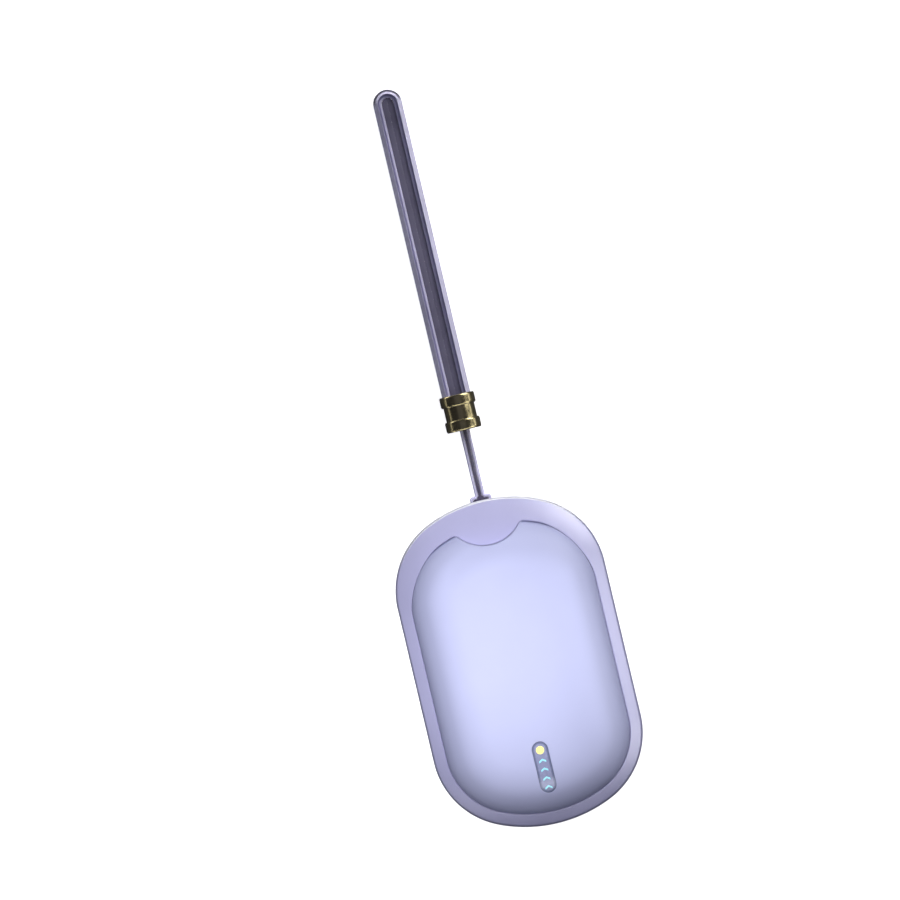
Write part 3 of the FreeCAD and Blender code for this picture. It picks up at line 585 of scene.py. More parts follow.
def turned_marks(tree, place, given):
    """Metal: slow tarnish, and fine rings across the axis from noise stretched round it."""
    flat = put(tree, "ShaderNodeMapping", {"Vector": place, "Scale": (0.02, 1.0, 0.02)}).outputs[0]
    tarnish = noise(tree, place, given["Tarnish Scale"], 5.0, 0.65)
    return tarnish, noise(tree, flat, given["Ring Scale"], 2.0)


METAL = {"depth": 0.00001, "metallic": 1.0}
EFFECTS = {
    "moulded_grain": (moulded_grain, {"Mottle Scale": 60.0, "Grain Scale": 5200.0}),
    "leather_grain": (leather_grain, {"Pebble Scale": 2600.0, "Mottle Scale": 140.0}),
    "turned_marks": (turned_marks, {"Ring Scale": 9000.0, "Tarnish Scale": 260.0}),
}


def effect_group(name):
    """Shader node group of an effect, built at its first use: scales go in, a tone and a grain come out."""
    tree = bpy.data.node_groups.get(name)
    if tree is None:
        build, scales = EFFECTS[name]
        tree = bpy.data.node_groups.new(name, "ShaderNodeTree")
        for label, value in scales.items():
            socket = tree.interface.new_socket(label, in_out="INPUT", socket_type="NodeSocketFloat")
            socket.default_value = value
        for label in ("Tone", "Grain"):
            tree.interface.new_socket(label, in_out="OUTPUT", socket_type="NodeSocketFloat")
        given, result = tree.nodes.new("NodeGroupInput").outputs, tree.nodes.new("NodeGroupOutput").inputs
        for value, label in zip(build(tree, coordinates(tree, "Object"), given), ("Tone", "Grain")):
            tree.links.new(value, result[label])
    return tree


def shade(colour, factor):
    """Colour with alpha, lighter or darker by a factor."""
    return tuple(min(1.0, part * factor) for part in colour) + (1.0,)


def shader_of(made):
    """Inputs of a material's Principled node."""
    return made.node_tree.nodes["Principled BSDF"].inputs


def finish(name, effect, colour, spread, rough, bump=0.05, depth=0.00002, metallic=0.0, values=None):
    """Principled material whose colour, roughness and bump come from an effect group.

    The colour varies by the spread about its value, and the roughness between its two limits.
    """
    made = bpy.data.materials.new(name)
    made.use_nodes = True
    made.diffuse_color = shade(colour, 1)
    tree, shader = made.node_tree, shader_of(made)
    marks = put(tree, "ShaderNodeGroup", values, node_tree=effect_group(effect)).outputs
    tone, grain = marks["Tone"], marks["Grain"]
    darker, lighter = shade(colour, 1 - spread), shade(colour, 1 + spread)
    raise_up = put(tree, "ShaderNodeBump", {"Height": grain, "Strength": bump, "Distance": depth})
    tree.links.new(blended(tree, span(tree, tone, 0.3, 0.7), darker, lighter), shader["Base Color"])
    tree.links.new(span(tree, tone, 0.3, 0.7, *rough), shader["Roughness"])
    tree.links.new(raise_up.outputs[0], shader["Normal"])
    shader["Metallic"].default_value = metallic
    return made


def paint_over(made, share, colour):
    """Second colour of a material, laid over its first by a share."""
    tree, base = made.node_tree, shader_of(made)["Base Color"]
    tree.links.new(blended(tree, share, base.links[0].from_socket, shade(colour, 1)), base)


def painted_light_by_lean(made, colour, spans):
    """Painted light: a second colour laid over a material where its normal leans, used for a painted
    highlight on the case's shoulder and for painted shade on the panel's slopes.

    Each span is an axis and two limits of the normal's part along it, between which the colour comes in.
    """
    tree = made.node_tree
    normal = parts_of(tree, coordinates(tree, "Normal"))
    share = 1.0
    for axis, low, high in spans:
        share = span(tree, normal[axis], low, high, 0.0, share, soft=True)
    paint_over(made, share, colour)


def dress(target, material):
    """The only material of an object."""
    target.data.materials.clear()
    target.data.materials.append(material)


def node_dress(name, material):
    """Material of a solid that is shown as it is."""
    target = frame["nodes"][name]
    for part in [target] + list(target.children_recursive):
        if part.type == "MESH":
            dress(part, material)


# Operators

CASE_SPOT, FERRULE_SPOT = (-0.008, 0.0045, 0.024), (0.0, 0.073, 0.005)
RIM_SPOT, STRAP_SPOT, CREST_SPOT = (0.0, 0.0, 0.015), (0.0, 0.122, 0.005), (0.002, 0.050, -0.015)
SIDE_WAY, SIDE_SPREAD = (0.75, 0.52, 0.42), math.radians(30)
# Strips that only show in reflections: name, place, what it faces, width, height and level.
STRIPS = (
    ("left_strip", (-0.40, 0.10, 0.045), FERRULE_SPOT, 0.2, 0.045, 3.0),
    ("right_strip", (0.40, 0.10, 0.045), FERRULE_SPOT, 0.2, 0.045, 7.0),
    ("left_far_strip", (-0.40, 0.42, 0.03), FERRULE_SPOT, 0.2, 0.06, 18.0),
    ("right_far_strip", (0.40, 0.42, 0.03), FERRULE_SPOT, 0.2, 0.06, 9.0),
    ("left_near_strip", (-0.40, -0.27, 0.03), FERRULE_SPOT, 0.2, 0.06, 11.0),
    ("right_near_strip", (0.40, -0.27, 0.03), FERRULE_SPOT, 0.2, 0.06, 6.0),
    ("crest_strip", (0.0, 0.60, 0.06), RIM_SPOT, 1.0, 0.08, 10.0),
    ("near_strip", (0.0, -0.20, 0.23), FERRULE_SPOT, 0.6, 0.06, 7.0),
    ("rim_strip", (0.44, -0.13, 0.25), RIM_SPOT, 0.30, 0.25, 9.0),
    ("high_corner_strip", (0.36, 0.32, 0.20), RIM_SPOT, 0.40, 0.20, 15.0),
)


class HANDWARMER_OT_stage(bpy.types.Operator):
    """Camera above the front, soft lamps, strips for reflections, a dim sky and a white floor"""
    bl_idname = "handwarmer.stage"
    bl_label = "Build Stage"

    def execute(self, context):
        scene, stage = context.scene, context.scene.hand_warmer_stage
        scene.view_settings.view_transform = "Standard"
        self.camera(scene, stage)
        self.sun(scene, stage.side_light, SIDE_WAY, SIDE_SPREAD)
        # Round lamps: name, place, what it faces, reach, level and radius.
        for lamp in (
            ("front_lamp", (-0.008, 0.0045, 3.0), CASE_SPOT, stage.front_reach, stage.front_light, 0.02),
            ("strap_lamp", (1.1, 0.65, 0.70), STRAP_SPOT, stage.strap_reach, stage.strap_light, 0.04),
            ("strap_fill", (-1.2, 0.22, 0.25), STRAP_SPOT, stage.strap_reach, stage.strap_fill, 0.04),
            ("crest_lamp", (0.12, 0.75, 0.07), CREST_SPOT, stage.crest_reach, stage.crest_light, 0.02),
        ):
            self.spot(scene, *lamp)
        for strip in STRIPS:
            self.strip(scene, *strip)
        self.floor()
        self.sky(scene, stage.sky)
        return {"FINISHED"}

    def camera(self, scene, stage):
        """Camera whose view is as wide as asked at half the case's height."""
        lens = bpy.data.cameras.new("front_camera")
        lens.sensor_width = 36.0
        crown = CAD_BOX[1][2]
        lens.lens = lens.sensor_width * (stage.distance - crown / 2) / stage.view_width
        lens.clip_end = 40.0
        camera = bpy.data.objects.new("front_camera", lens)
        camera.location = (stage.view_x, stage.view_y, stage.distance)
        camera.rotation_euler = (0.0, 0.0, stage.roll)
        scene.collection.objects.link(camera)
        scene.camera = camera

    def lamp(self, scene, kind, name, location, target, unseen, **settings):
        """Lamp of a kind at a place, which faces a target and is hidden from one kind of ray."""
        data = bpy.data.lights.new(name, kind)
        for key, value in settings.items():
            setattr(data, key, value)
        made = bpy.data.objects.new(name, data)
        made.location = location
        made.rotation_euler = (Vector(target) - Vector(location)).to_track_quat("-Z", "Y").to_euler()
        setattr(made, unseen, False)
        scene.collection.objects.link(made)

    def sun(self, scene, level, direction, spread):
        """Soft lamp from a direction; a level surface shows its level times the direction's rise."""
        self.lamp(scene, "SUN", "side_lamp", direction, (0.0, 0.0, 0.0), "visible_glossy",
                  energy=math.pi * level, angle=spread)

    def spot(self, scene, name, location, target, reach, level, radius):
        """Round lamp that fades from its level at the target to nothing at its reach."""
        away = (Vector(target) - Vector(location)).length
        self.lamp(scene, "SPOT", name, location, target, "visible_glossy",
                  energy=4 * (math.pi * away) ** 2 * level, spot_size=2 * math.atan(reach / away),
                  spot_blend=1.0, shadow_soft_size=radius)

    def strip(self, scene, name, location, target, across, high, level):
        """Flat lamp that only shows in reflections."""
        self.lamp(scene, "AREA", name, location, target, "visible_diffuse",
                  energy=level * math.pi * across * high, shape="RECTANGLE", size=across, size_y=high)

    def floor(self):
        """Large white floor, a grid of points at level zero, which is grey to all but the camera."""
        side = np.linspace(-4.0, 4.0, 9)
        plan = np.stack(np.meshgrid(side, side, indexing="xy"), -1)
        floor = piece("floor", raised(plan, 0.0), (False, False))
        made = bpy.data.materials.new("white_floor")
        made.use_nodes = True
        tree, shader = made.node_tree, shader_of(made)
        cloud = noise(tree, coordinates(tree, "Object"), 3.0, 2.0)
        pale = blended(tree, cloud, (0.965, 0.965, 0.965, 1.0), (0.98, 0.98, 0.98, 1.0))
        seen = put(tree, "ShaderNodeLightPath").outputs["Is Camera Ray"]
        tree.links.new(blended(tree, seen, (0.35, 0.35, 0.37, 1.0), pale), shader["Base Color"])
        tree.links.new(pale, shader["Emission Color"])
        tree.links.new(calc(tree, "MULTIPLY", seen, 0.90), shader["Emission Strength"])
        shader["Roughness"].default_value = 1.0
        shader["Specular IOR Level"].default_value = 0.0
        dress(floor, made)

    def sky(self, scene, strength):
        """Dim bluish sky that is brighter towards the strap's end of the case and straight overhead."""
        world = bpy.data.worlds.new("studio_sky")
        world.use_nodes = True
        tree = world.node_tree
        way = parts_of(tree, coordinates(tree, "Generated"))
        level = calc(tree, "ADD", span(tree, way["Y"], -0.9, 0.9, 0.3, 1.5),
                     span(tree, way["Z"], 0.90, 0.98, 0.0, 1.7, soft=True))
        colour = blended(tree, level, (0.0, 0.0, 0.0, 1.0), (0.90, 0.92, 1.22, 1.0), clamp_factor=False)
        back = tree.nodes["Background"].inputs
        tree.links.new(colour, back["Color"])
        back["Strength"].default_value = strength
        scene.world = world


# Right strand of the cord from the ferrule to the anchor post, in millimetres; the left one mirrors it.
STRAND = (
    (0.975, 71.1, 5.1), (0.975, 63.0, 5.1), (0.975, 55.5, 8.6), (0.975, 51.8, 9.5), (0.975, 50.0, 9.5),
    (0.975, 48.5, 9.5), (2.675, 48.5, 9.5), (2.675, 47.5, 9.5), (2.675, 41.056, 9.5),
)
BEHIND_POST = (0.0, 39.511, 9.5)
GAP_SHADE_END = (0.0, 45.5, 9.5)
GAP_SHADE_STEPS = np.array([47.75, 48.0, 48.1, 48.9]) * MM


class HANDWARMER_OT_cord(bpy.types.Operator):
    """Lanyard cord, a twisted tube from the ferrule round the anchor post and back, and a dark tape of
    painted shade in the gap between its strands
    """
    bl_idname = "handwarmer.cord"
    bl_label = "Build Cord"

    def execute(self, context):
        strap, colours = context.scene.hand_warmer_strap, context.scene.hand_warmer_finish
        route = [*STRAND, BEHIND_POST, *((-x, y, z) for x, y, z in reversed(STRAND))]
        line, places = spline_line("cord_line", np.array(route) * MM, CORD_RESOLUTION, CORD_SPACING)
        angle = np.linspace(0, 2 * math.pi, CORD_SIDES, endpoint=False)
        profile = np.stack([np.cos(angle), np.sin(angle)], 1) * strap.cord_diameter / 2
        cord = sweep("lanyard_cord_tube", line, places, UP, profile)
        dress(cord, self.twisted(strap, colours.cord))
        # The dark tape fills the gap between the strands: painted shade.
        core = self.core(strap)
        dress(core, finish("core_tape", "leather_grain", colours.core, 0.10, (0.6, 0.75), 0.15, 0.00003,
                           values={"Pebble Scale": 4200.0}))
        for part, name, slot in ((cord, "lanyard_cord", "cord_lavender"),
                                 (core, "lanyard_core", "strap_purple")):
            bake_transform(part)
            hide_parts(name)
        return {"FINISHED"}

    def core(self, strap):
        """Flat dark tape of painted shade in the gap along the middle of the strands' route, widened to its
        foot where they part.
        """
        route = [(0.0, y, z) for x, y, z in STRAND[:5]] + [GAP_SHADE_END]
        line, places = spline_line("core_line", np.array(route) * MM, CORD_RESOLUTION, GAP_SHADE_SPACING)
        half, thick = strap.gap_shade_width / 2, strap.gap_shade_thickness / 2
        corners = [(half, -thick), (half, thick), (-half, thick), (-half, -thick)]
        profile = softened(corners, [0.15 * MM] * 4, 4)
        widths = [strap.gap_shade_foot, strap.gap_shade_foot - 0.5 * MM, strap.gap_shade_neck, strap.gap_shade_width]
        spread = np.interp(line[:, 1], GAP_SHADE_STEPS, widths) / strap.gap_shade_width
        return sweep("lanyard_core_tape", line, places, UP, profile, STRAP_SHARP, spread)

    def twisted(self, strap, colour):
        """Twisted yarns: three stripes that run round and along the tube, with fine fibre noise."""
        made = finish("twisted_cord", "moulded_grain", colour, 0.10, (0.65, 0.8), 0.3,
                      values={"Mottle Scale": 900.0, "Grain Scale": 9000.0})
        tree, normal = made.node_tree, shader_of(made)["Normal"]
        place = swept_place(tree)
        turns = calc(tree, "MULTIPLY", place["Y"], 1 / strap.cord_twist)
        phase = calc(tree, "MULTIPLY_ADD", place["X"], 3.0, turns)
        ridge = calc(tree, "SINE", calc(tree, "MULTIPLY", phase, 2 * math.pi))
        twist = put(tree, "ShaderNodeBump", {"Height": ridge, "Strength": 0.35, "Distance": 0.00005,
                                             "Normal": normal.links[0].from_socket})
        tree.links.new(twist.outputs[0], normal)
        return made


# Painted shade on the strap's outer edge at the fold: limits round the profile and along the band, the
# light end first.
FOLD_SHADE_ROUND, FOLD_SHADE_ALONG = (0.0570, 0.0535), (4.9 * MM, 3.2 * MM)


class HANDWARMER_OT_strap(bpy.types.Operator):
    """Wrist strap: a ridged outer band and its lining, folded back on themselves"""
    bl_idname = "handwarmer.strap"
    bl_label = "Build Strap"

    def execute(self, context):
        strap, colours = context.scene.hand_warmer_strap, context.scene.hand_warmer_finish
        upright = np.array([0.0, math.sin(strap.strap_tilt), math.cos(strap.strap_tilt)])
        line, places = self.hairpin("band_line", strap, (strap.strap_width - strap.strap_thickness) / 2)
        band = sweep("strap_band_skin", line, places, upright, self.band_profile(strap), STRAP_SHARP)
        leather = finish("strap_leather", "leather_grain", colours.band, 0.06, (0.42, 0.55), 0.12, 0.00003)
        # Painted shade on the band's outer edge at the fold.
        self.paint_fold_shade(leather, colours.fold_shade, places[-1] / 2)
        dress(band, leather)
        inside = self.hairpin("lining_line", strap, strap.lining_width / 4)
        lining = sweep("strap_lining_skin", *inside, upright, self.lining_profile(strap), STRAP_SHARP)
        dress(lining, finish("lining_leather", "leather_grain", colours.lining, 0.08, (0.5, 0.65), 0.15,
                             0.00003, values={"Pebble Scale": 3400.0}))
        for part, name, slot in ((band, "strap_band", "strap_lavender"),
                                 (lining, "strap_lining", "strap_purple")):
            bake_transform(part)
            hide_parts(name)
        return {"FINISHED"}

    def hairpin(self, name, strap, radius):
        """Line of two runs at a radius from the axis and the half turn between them, which lean down."""
        mouth_y = strap.ferrule_y + strap.ferrule_length
        turn_y = mouth_y + strap.strap_reach - strap.strap_width / 2
        corner_y = turn_y + radius * math.tan(math.pi / 6)
        run = [
            (radius, mouth_y - strap.strap_hold),
            (radius, mouth_y + 6 * strap.strap_depth),
            (radius, corner_y - radius * 2 / math.sqrt(3)),
            (radius, corner_y),
        ]
        tip = (0.0, turn_y + radius / math.cos(math.pi / 6))
        flat = np.array(run + [tip] + [(-x, y) for x, y in reversed(run)])
        along = flat[:, 1] - mouth_y
        route = np.stack([flat[:, 0], mouth_y + along * math.cos(strap.strap_tilt),
                          strap.ferrule_diameter / 2 - along * math.sin(strap.strap_tilt)], 1)
        return spline_line(name, route, STRAP_RESOLUTION, STRAP_SPACING)

    def band_profile(self, strap):
        """Band section, outward then up: a sloped outer flank, a step down to a groove, and a low shelf."""
        top = strap.strap_depth / 2 / MM
        edge = strap.strap_thickness / 2 / MM
        inner = (strap.lining_width - strap.strap_width + strap.strap_thickness) / 2 / MM
        # Outward, up and rounding of each corner, in millimetres.
        upper = np.array([
            (edge, 0.45, 0.5), (0.06, top, 0.12), (-0.02, top - 0.04, 0.05), (-0.04, top - 1.9, 0.06),
            (-0.48, top - 1.9, 0.06), (-0.52, top - 1.0, 0.08), (inner + 0.05, top - 1.1, 0.06),
            (inner, top - 1.8, 0.06),
        ])
        whole = np.concatenate([upper, upper[::-1] * (1, -1, 1)]) * MM
        return softened(whole[:, :2], whole[:, 2], 5)

    def lining_profile(self, strap):
        """Lining section: an upright bar with soft edges, which meets the other run in the middle."""
        half = strap.lining_width / 4 - 0.001 * MM
        top = strap.lining_depth / 2
        corners = [(half, -top), (half, top), (-half, top), (-half, -top)]
        return softened(corners, [0.05 * MM, 0.05 * MM, 0.0005 * MM, 0.0005 * MM], 4)

    def paint_fold_shade(self, made, colour, middle):
        """Painted shade on the band's outer edge at the fold: low on the profile's flank and near the
        middle of the length.
        """
        tree = made.node_tree
        place = swept_place(tree)
        low = span(tree, calc(tree, "PINGPONG", place["X"], 0.5), *FOLD_SHADE_ROUND, soft=True)
        along = calc(tree, "ABSOLUTE", calc(tree, "SUBTRACT", place["Y"], middle))
        paint_over(made, span(tree, along, *FOLD_SHADE_ALONG, 0.0, low, soft=True), colour)


class HANDWARMER_OT_ferrule(bpy.types.Operator):
    """Turned bronze ferrule with two chamfered flanges and a waist"""
    bl_idname = "handwarmer.ferrule"
    bl_label = "Build Ferrule"

    def execute(self, context):
        strap, colours = context.scene.hand_warmer_strap, context.scene.hand_warmer_finish
        flange, waist, bore = (size / 2 / MM for size in
                               (strap.ferrule_diameter, strap.ferrule_waist, strap.ferrule_bore))
        size, run = strap.ferrule_length / MM, strap.ferrule_flange / MM
        drop, wide, mouth = 0.20, 0.40, 2.0
        floor = size - mouth
        # Distance from the axis, distance along it and rounding of each corner, in millimetres.
        turned = np.array([
            (0, 0, 0), (flange - 1.2 * drop, 0, 0.1), (flange, 1.2 * wide, 0.15),
            (flange, run - wide, 0.15), (flange - drop, run, 0.1), (waist, run, 0.12),
            (waist, size - run, 0.12), (flange - drop, size - run, 0.1), (flange, size - run + wide, 0.15),
            (flange, size - wide, 0.15), (flange - drop, size, 0.1), (bore, size, 0.1),
            (bore, floor, 0.2), (0, floor, 0),
        ]) * MM
        profile = softened(turned[:, :2], turned[:, 2], 5, closed=False)
        angle = np.linspace(0, 2 * math.pi, FERRULE_SIDES, endpoint=False)
        points = np.empty((len(profile), len(angle), 3))
        points[..., 0] = profile[:, :1] * np.sin(angle)
        points[..., 1] = strap.ferrule_y + profile[:, 1:]
        points[..., 2] = strap.ferrule_diameter / 2 + profile[:, :1] * np.cos(angle)
        made = piece("turned_ferrule", points, (False, True), METAL_SHARP)
        bronze = finish("antique_bronze", "turned_marks", colours.bronze, 0.18, (0.20, 0.28), 0.10, **METAL)
        dress(made, bronze)
        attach(made, "lanyard")
        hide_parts("strap_ferrule")
        return {"FINISHED"}


# Height of the panel over the frame where its edge is as round as over the scoop.
SCOOP_STEP = 4.0 * MM


class HANDWARMER_OT_case(bpy.types.Operator):
    """Front panel and frame of the case as smooth skins, and the finish of its shell"""
    bl_idname = "handwarmer.case"
    bl_label = "Build Case"

    def execute(self, context):
        case, colours = context.scene.hand_warmer_case, context.scene.hand_warmer_finish
        plastic = finish("case_plastic", "moulded_grain", colours.case, 0.02, (0.36, 0.42))
        # Painted highlight on the case's shoulder where it faces the strap's end.
        painted_light_by_lean(plastic, colours.edge, (("Y", 0.35, 0.75), ("Z", 0.81, 0.72), ("Z", 0.10, 0.20)))
        matte = finish("panel_plastic", "moulded_grain", colours.panel, 0.015, (0.60, 0.66))
        shader_of(matte)["Specular IOR Level"].default_value = 0.2
        # Painted shade where the panel slopes down to its edge.
        painted_light_by_lean(matte, colours.shoulder, (("Z", 0.97, 0.78),))
        # Painted shade on the panel's slopes that face the strap's end, fading out where they turn to the
        # left.
        painted_light_by_lean(matte, colours.shoulder, (("Y", 0.0, 0.40), ("X", -0.25, 0.0)))
        panel = self.panel(case)
        dress(panel, matte)
        rim = self.rim(case)
        dress(rim, plastic)
        for part, name, slot in ((panel, "front_panel", "panel_lavender"),
                                 (rim, "front_frame", "case_lavender")):
            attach(part, "housing")
            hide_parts(name)
        node_dress("rear_shell", plastic)
        return {"FINISHED"}

    def rim(self, case):
        """Frame of the case: rows of points carried round the panel's opening.

        From the opening's edge each row's place runs straight out to the case's outline, so its height
        is the rim's height at its inset.  The rows climb from the seam up the side and the flank, round
        the shoulder and over the rim, round the edge, and come back under the ledge and the wall.
        """
        body = body_outline(case)
        _, opening, out = panel_edge(case)
        brow = opening + out * case.brow
        inset, away = inset_of(body, brow)
        outer = brow + away * inset[:, None]
        fall = math.atan2(2 * case.frame_rise, case.frame_run)
        turn = np.linspace(case.flank_lean, fall, SHOULDER_ROWS)[:, None]
        depth = case.flank + case.shoulder_radius * (math.sin(case.flank_lean) - np.sin(turn))
        depth = np.broadcast_to(depth, (len(turn), len(outer)))
        level = self.rim_height(case, depth[-1, 0]) - case.shoulder_radius * (math.cos(fall) - np.cos(turn))
        turned = raised(outer[None] - away[None] * depth[..., None], level)
        foot = level[0, 0] - case.flank * math.tan(case.flank_lean)
        depth = depth[-1:] + (inset[None] - depth[-1:]) * np.linspace(0, 1, SLOPE_ROWS)[1:, None]
        slope = raised(outer[None] - away[None] * depth[..., None], self.rim_height(case, depth))
        bends = rolled(opening, out, case.brow, quarter(EDGE_ROWS)[1:],
                       lambda plan: self.rim_height(case, inset_of(body, plan)[0]))
        inner = outer - away * case.wall
        ledge = opening - out * case.ledge_width
        rows = stacked(
            raised(outer - away * case.seam, case.parting),
            raised(outer, case.parting + case.seam),
            raised(outer, foot),
            turned,
            slope,
            bends,
            raised(opening, case.seat),
            raised(ledge, case.seat),
            raised(ledge, case.ledge_base),
            raised(inner, case.ledge_base),
            raised(inner, case.parting),
        )
        return piece("front_frame_skin", rows, (True, True), CASE_SHARP)

    def rim_height(self, case, inset):
        """Height of the rim: a parabola that climbs from the shoulder."""
        return case.parting + case.shoulder_rise + case.frame_rise * (1 - (1 - inset / case.frame_run) ** 2)

    def panel(self, case):
        """Domed panel: rows of points carried round its edge and round the key's opening.

        Each row's place lies between the panel's edge and the nearest point of the key's opening, and
        its height is the quarter ellipse of its inset.  The edge is rounder where the panel stands over
        the frame at the scoop.  Inside, the rows come back under the skin.
        """
        shape = panel_outline(case)

        def height(plan):
            return self.dome(case, shape, plan)

        edge, _, out = panel_edge(case)
        step = height(edge) - self.rim_height(case, inset_of(body_outline(case), edge)[0])
        soft = np.interp(step, [0.0, SCOOP_STEP], [case.softness, case.scoop_softness])
        bends = rolled(edge, -out, soft, quarter(EDGE_ROWS)[::-1], height)
        brow = edge - out * soft[:, None]
        radius = case.key_width / 2
        reach = (case.key_length - case.key_width) / 2
        spine_y = np.clip(brow[:, 1], case.key_y - reach, case.key_y + reach)
        spine = np.stack([np.zeros(len(brow)), spine_y], 1)
        away = unit(brow - spine)
        hole = spine + away * radius
        lip = hole + away * case.softness
        share = np.linspace(0, 1, DOME_ROWS)[1:, None, None] ** DOME_CROWDING
        dome_plan = brow[None] + (lip - brow)[None] * share
        falls = rolled(hole, away, case.softness, quarter(LIP_ROWS)[1:], height)
        well = hole + away * case.well_wall
        inner = edge - out * case.panel_wall
        back = np.linspace(0, 1, BACK_ROWS)[:, None, None]
        back_plan = well[None] + (inner - well)[None] * back
        rows = stacked(
            raised(edge, case.panel_base),
            bends,
            raised(dome_plan, height(dome_plan)),
            falls,
            raised(hole, case.well_base),
            raised(well, case.well_base),
            raised(back_plan, self.dome(case, shape, back_plan, case.panel_wall)),
            raised(inner, case.panel_base),
        )
        return piece("front_panel_skin", rows, (True, True), CASE_SHARP)

    def dome(self, case, shape, plan, thickness=0.0):
        """Height of the panel's dome, or of its inside at a thickness."""
        inset = inset_of(shape, plan)[0] - thickness
        return case.panel_edge + rounding(inset, case.panel_run - thickness, case.panel_rise - thickness)


# Materials of the pieces inside: name, effect, colour, spread, roughness, other settings, solids.
INSIDE = (
    ("bright_steel", "turned_marks", (0.56, 0.56, 0.58), 0.08, (0.22, 0.34), {"bump": 0.06, **METAL},
     "case_screws indicator_screws board_screws socket_shell lanyard_anchor"),
    ("nickel_strip", "turned_marks", (0.62, 0.60, 0.54), 0.1, (0.3, 0.42), {"bump": 0.06, **METAL},
     "battery_tabs"),
    ("plain_aluminium", "turned_marks", (0.74, 0.74, 0.76), 0.05, (0.35, 0.5), {"bump": 0.1, **METAL},
     "front_heat_plate"),
    ("black_plastic", "moulded_grain", (0.018, 0.018, 0.02), 0.2, (0.45, 0.6), {},
     "switch_case switch_plunger socket_tongue control_chip heat_sensor"),
    ("board_lacquer", "moulded_grain", (0.02, 0.12, 0.05), 0.2, (0.25, 0.35),
     {"values": {"Mottle Scale": 400.0}}, "indicator_board main_board"),
    ("cream_plastic", "moulded_grain", (0.74, 0.69, 0.55), 0.05, (0.4, 0.5), {},
     "battery_plug heater_plug ribbon_plugs"),
    ("amber_film", "moulded_grain", (0.50, 0.22, 0.03), 0.12, (0.2, 0.3),
     {"values": {"Mottle Scale": 300.0}}, "rear_heater_film front_heater_film"),
    ("grey_foam", "moulded_grain", (0.09, 0.09, 0.10), 0.2, (0.8, 0.9),
     {"bump": 0.6, "depth": 0.0001, "values": {"Grain Scale": 1800.0}}, "rear_pad front_pad"),
    ("lamp_chip", "moulded_grain", (0.84, 0.80, 0.62), 0.06, (0.25, 0.35), {}, "status_light level_lights"),
    ("ferrite_grey", "moulded_grain", (0.10, 0.10, 0.11), 0.15, (0.55, 0.7), {}, "power_coil"),
    ("ribbon_film", "moulded_grain", (0.78, 0.78, 0.80), 0.04, (0.35, 0.45), {}, "board_ribbon"),
    ("cell_sleeve", "moulded_grain", (0.05, 0.20, 0.45), 0.1, (0.22, 0.3), {}, "battery_cells"),
    ("red_sleeve", "moulded_grain", (0.45, 0.02, 0.02), 0.1, (0.5, 0.6), {}, "battery_lead_plus"),
    ("black_sleeve", "moulded_grain", (0.02, 0.02, 0.02), 0.2, (0.5, 0.6), {}, "battery_lead_minus"),
)


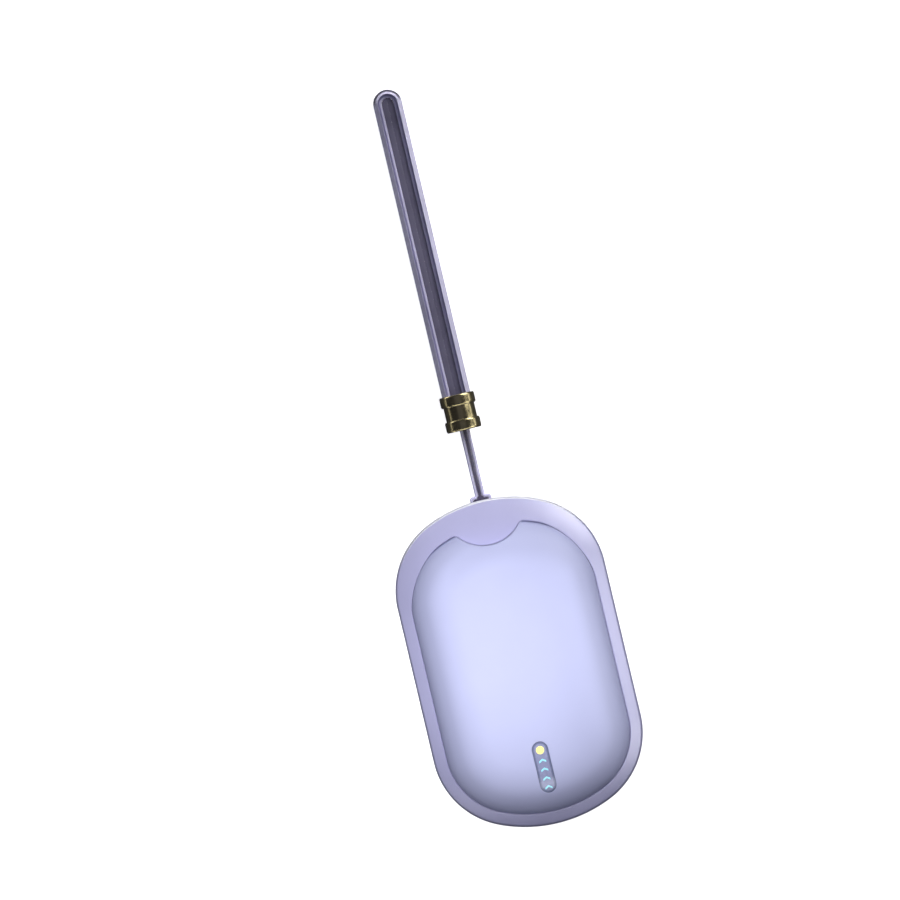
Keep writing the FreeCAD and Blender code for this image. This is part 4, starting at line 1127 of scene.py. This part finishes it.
class HANDWARMER_OT_details(bpy.types.Operator):
    """Materials of the key, its lights, the joint round the panel and the pieces inside"""
    bl_idname = "handwarmer.details"
    bl_label = "Finish Details"

    def execute(self, context):
        case, colours = context.scene.hand_warmer_case, context.scene.hand_warmer_finish
        node_dress("panel_gasket", finish("dark_joint", "moulded_grain", colours.groove, 0.1, (0.6, 0.7)))
        node_dress("key_cap", self.smoked(case, colours))
        node_dress("status_window", self.lit("status_lens", colours.status, colours.status_glow))
        node_dress("level_windows", self.lit("level_lens", colours.level, colours.level_glow))
        for name, effect, colour, spread, rough, others, solids in INSIDE:
            material = finish(name, effect, colour, spread, rough, **others)
            for solid in solids.split():
                node_dress(solid, material)
        return {"FINISHED"}

    def smoked(self, case, colours):
        """Smoked face with a darker border: the border starts at a distance from the key's middle line."""
        made = finish("smoked_key", "moulded_grain", colours.key, 0.08, (0.22, 0.3), 0.02,
                      values={"Mottle Scale": 900.0})
        tree, radius = made.node_tree, case.key_width / 2
        place = parts_of(tree, coordinates(tree, "Object"))
        along = calc(tree, "ABSOLUTE", calc(tree, "SUBTRACT", place["Y"], case.key_y))
        beyond = calc(tree, "MAXIMUM", calc(tree, "SUBTRACT", along, case.key_length / 2 - radius), 0.0)
        flat = put(tree, "ShaderNodeCombineXYZ", {"X": place["X"], "Y": beyond}).outputs[0]
        away = put(tree, "ShaderNodeVectorMath", {0: flat}, operation="LENGTH").outputs["Value"]
        border = span(tree, away, radius - case.border_start, radius - case.border_full, soft=True)
        paint_over(made, border, colours.key_border)
        return made

    def lit(self, name, colour, strength):
        """Window lit from behind: its colour also glows."""
        made = finish(name, "moulded_grain", colour, 0.05, (0.25, 0.35), 0.02,
                      values={"Mottle Scale": 1200.0})
        shader = shader_of(made)
        made.node_tree.links.new(shader["Base Color"].links[0].from_socket, shader["Emission Color"])
        shader["Emission Strength"].default_value = strength
        return made


STEPS = ("stage", "cord", "strap", "ferrule", "case", "details")


class HANDWARMER_PT_panel(bpy.types.Panel):
    """Sidebar panel with the build steps and their settings"""
    bl_idname = "HANDWARMER_PT_panel"
    bl_label = "Hand Warmer"
    bl_space_type = "VIEW_3D"
    bl_region_type = "UI"
    bl_category = "Hand Warmer"

    def draw(self, context):
        for step in STEPS:
            self.layout.operator("handwarmer." + step)
        for name in SETTINGS:
            settings = getattr(context.scene, name)
            box = self.layout.box()
            for key in settings.bl_rna.properties.keys():
                if key not in {"rna_type", "name"}:
                    box.prop(settings, key)


SETTINGS = {
    "hand_warmer_case": CaseSettings,
    "hand_warmer_strap": StrapSettings,
    "hand_warmer_finish": FinishSettings,
    "hand_warmer_stage": StageSettings,
}
CLASSES = (
    *SETTINGS.values(),
    HANDWARMER_OT_stage,
    HANDWARMER_OT_cord,
    HANDWARMER_OT_strap,
    HANDWARMER_OT_ferrule,
    HANDWARMER_OT_case,
    HANDWARMER_OT_details,
    HANDWARMER_PT_panel,
)


def register():
    for item in CLASSES:
        bpy.utils.register_class(item)
    for name, settings in SETTINGS.items():
        setattr(bpy.types.Scene, name, PointerProperty(type=settings))


def unregister():
    for name in SETTINGS:
        delattr(bpy.types.Scene, name)
    for item in reversed(CLASSES):
        bpy.utils.unregister_class(item)


def main():
    """Builds everything in order."""
    register()
    for step in STEPS:
        getattr(bpy.ops.handwarmer, step)()


if __name__ == "__main__":
    main()
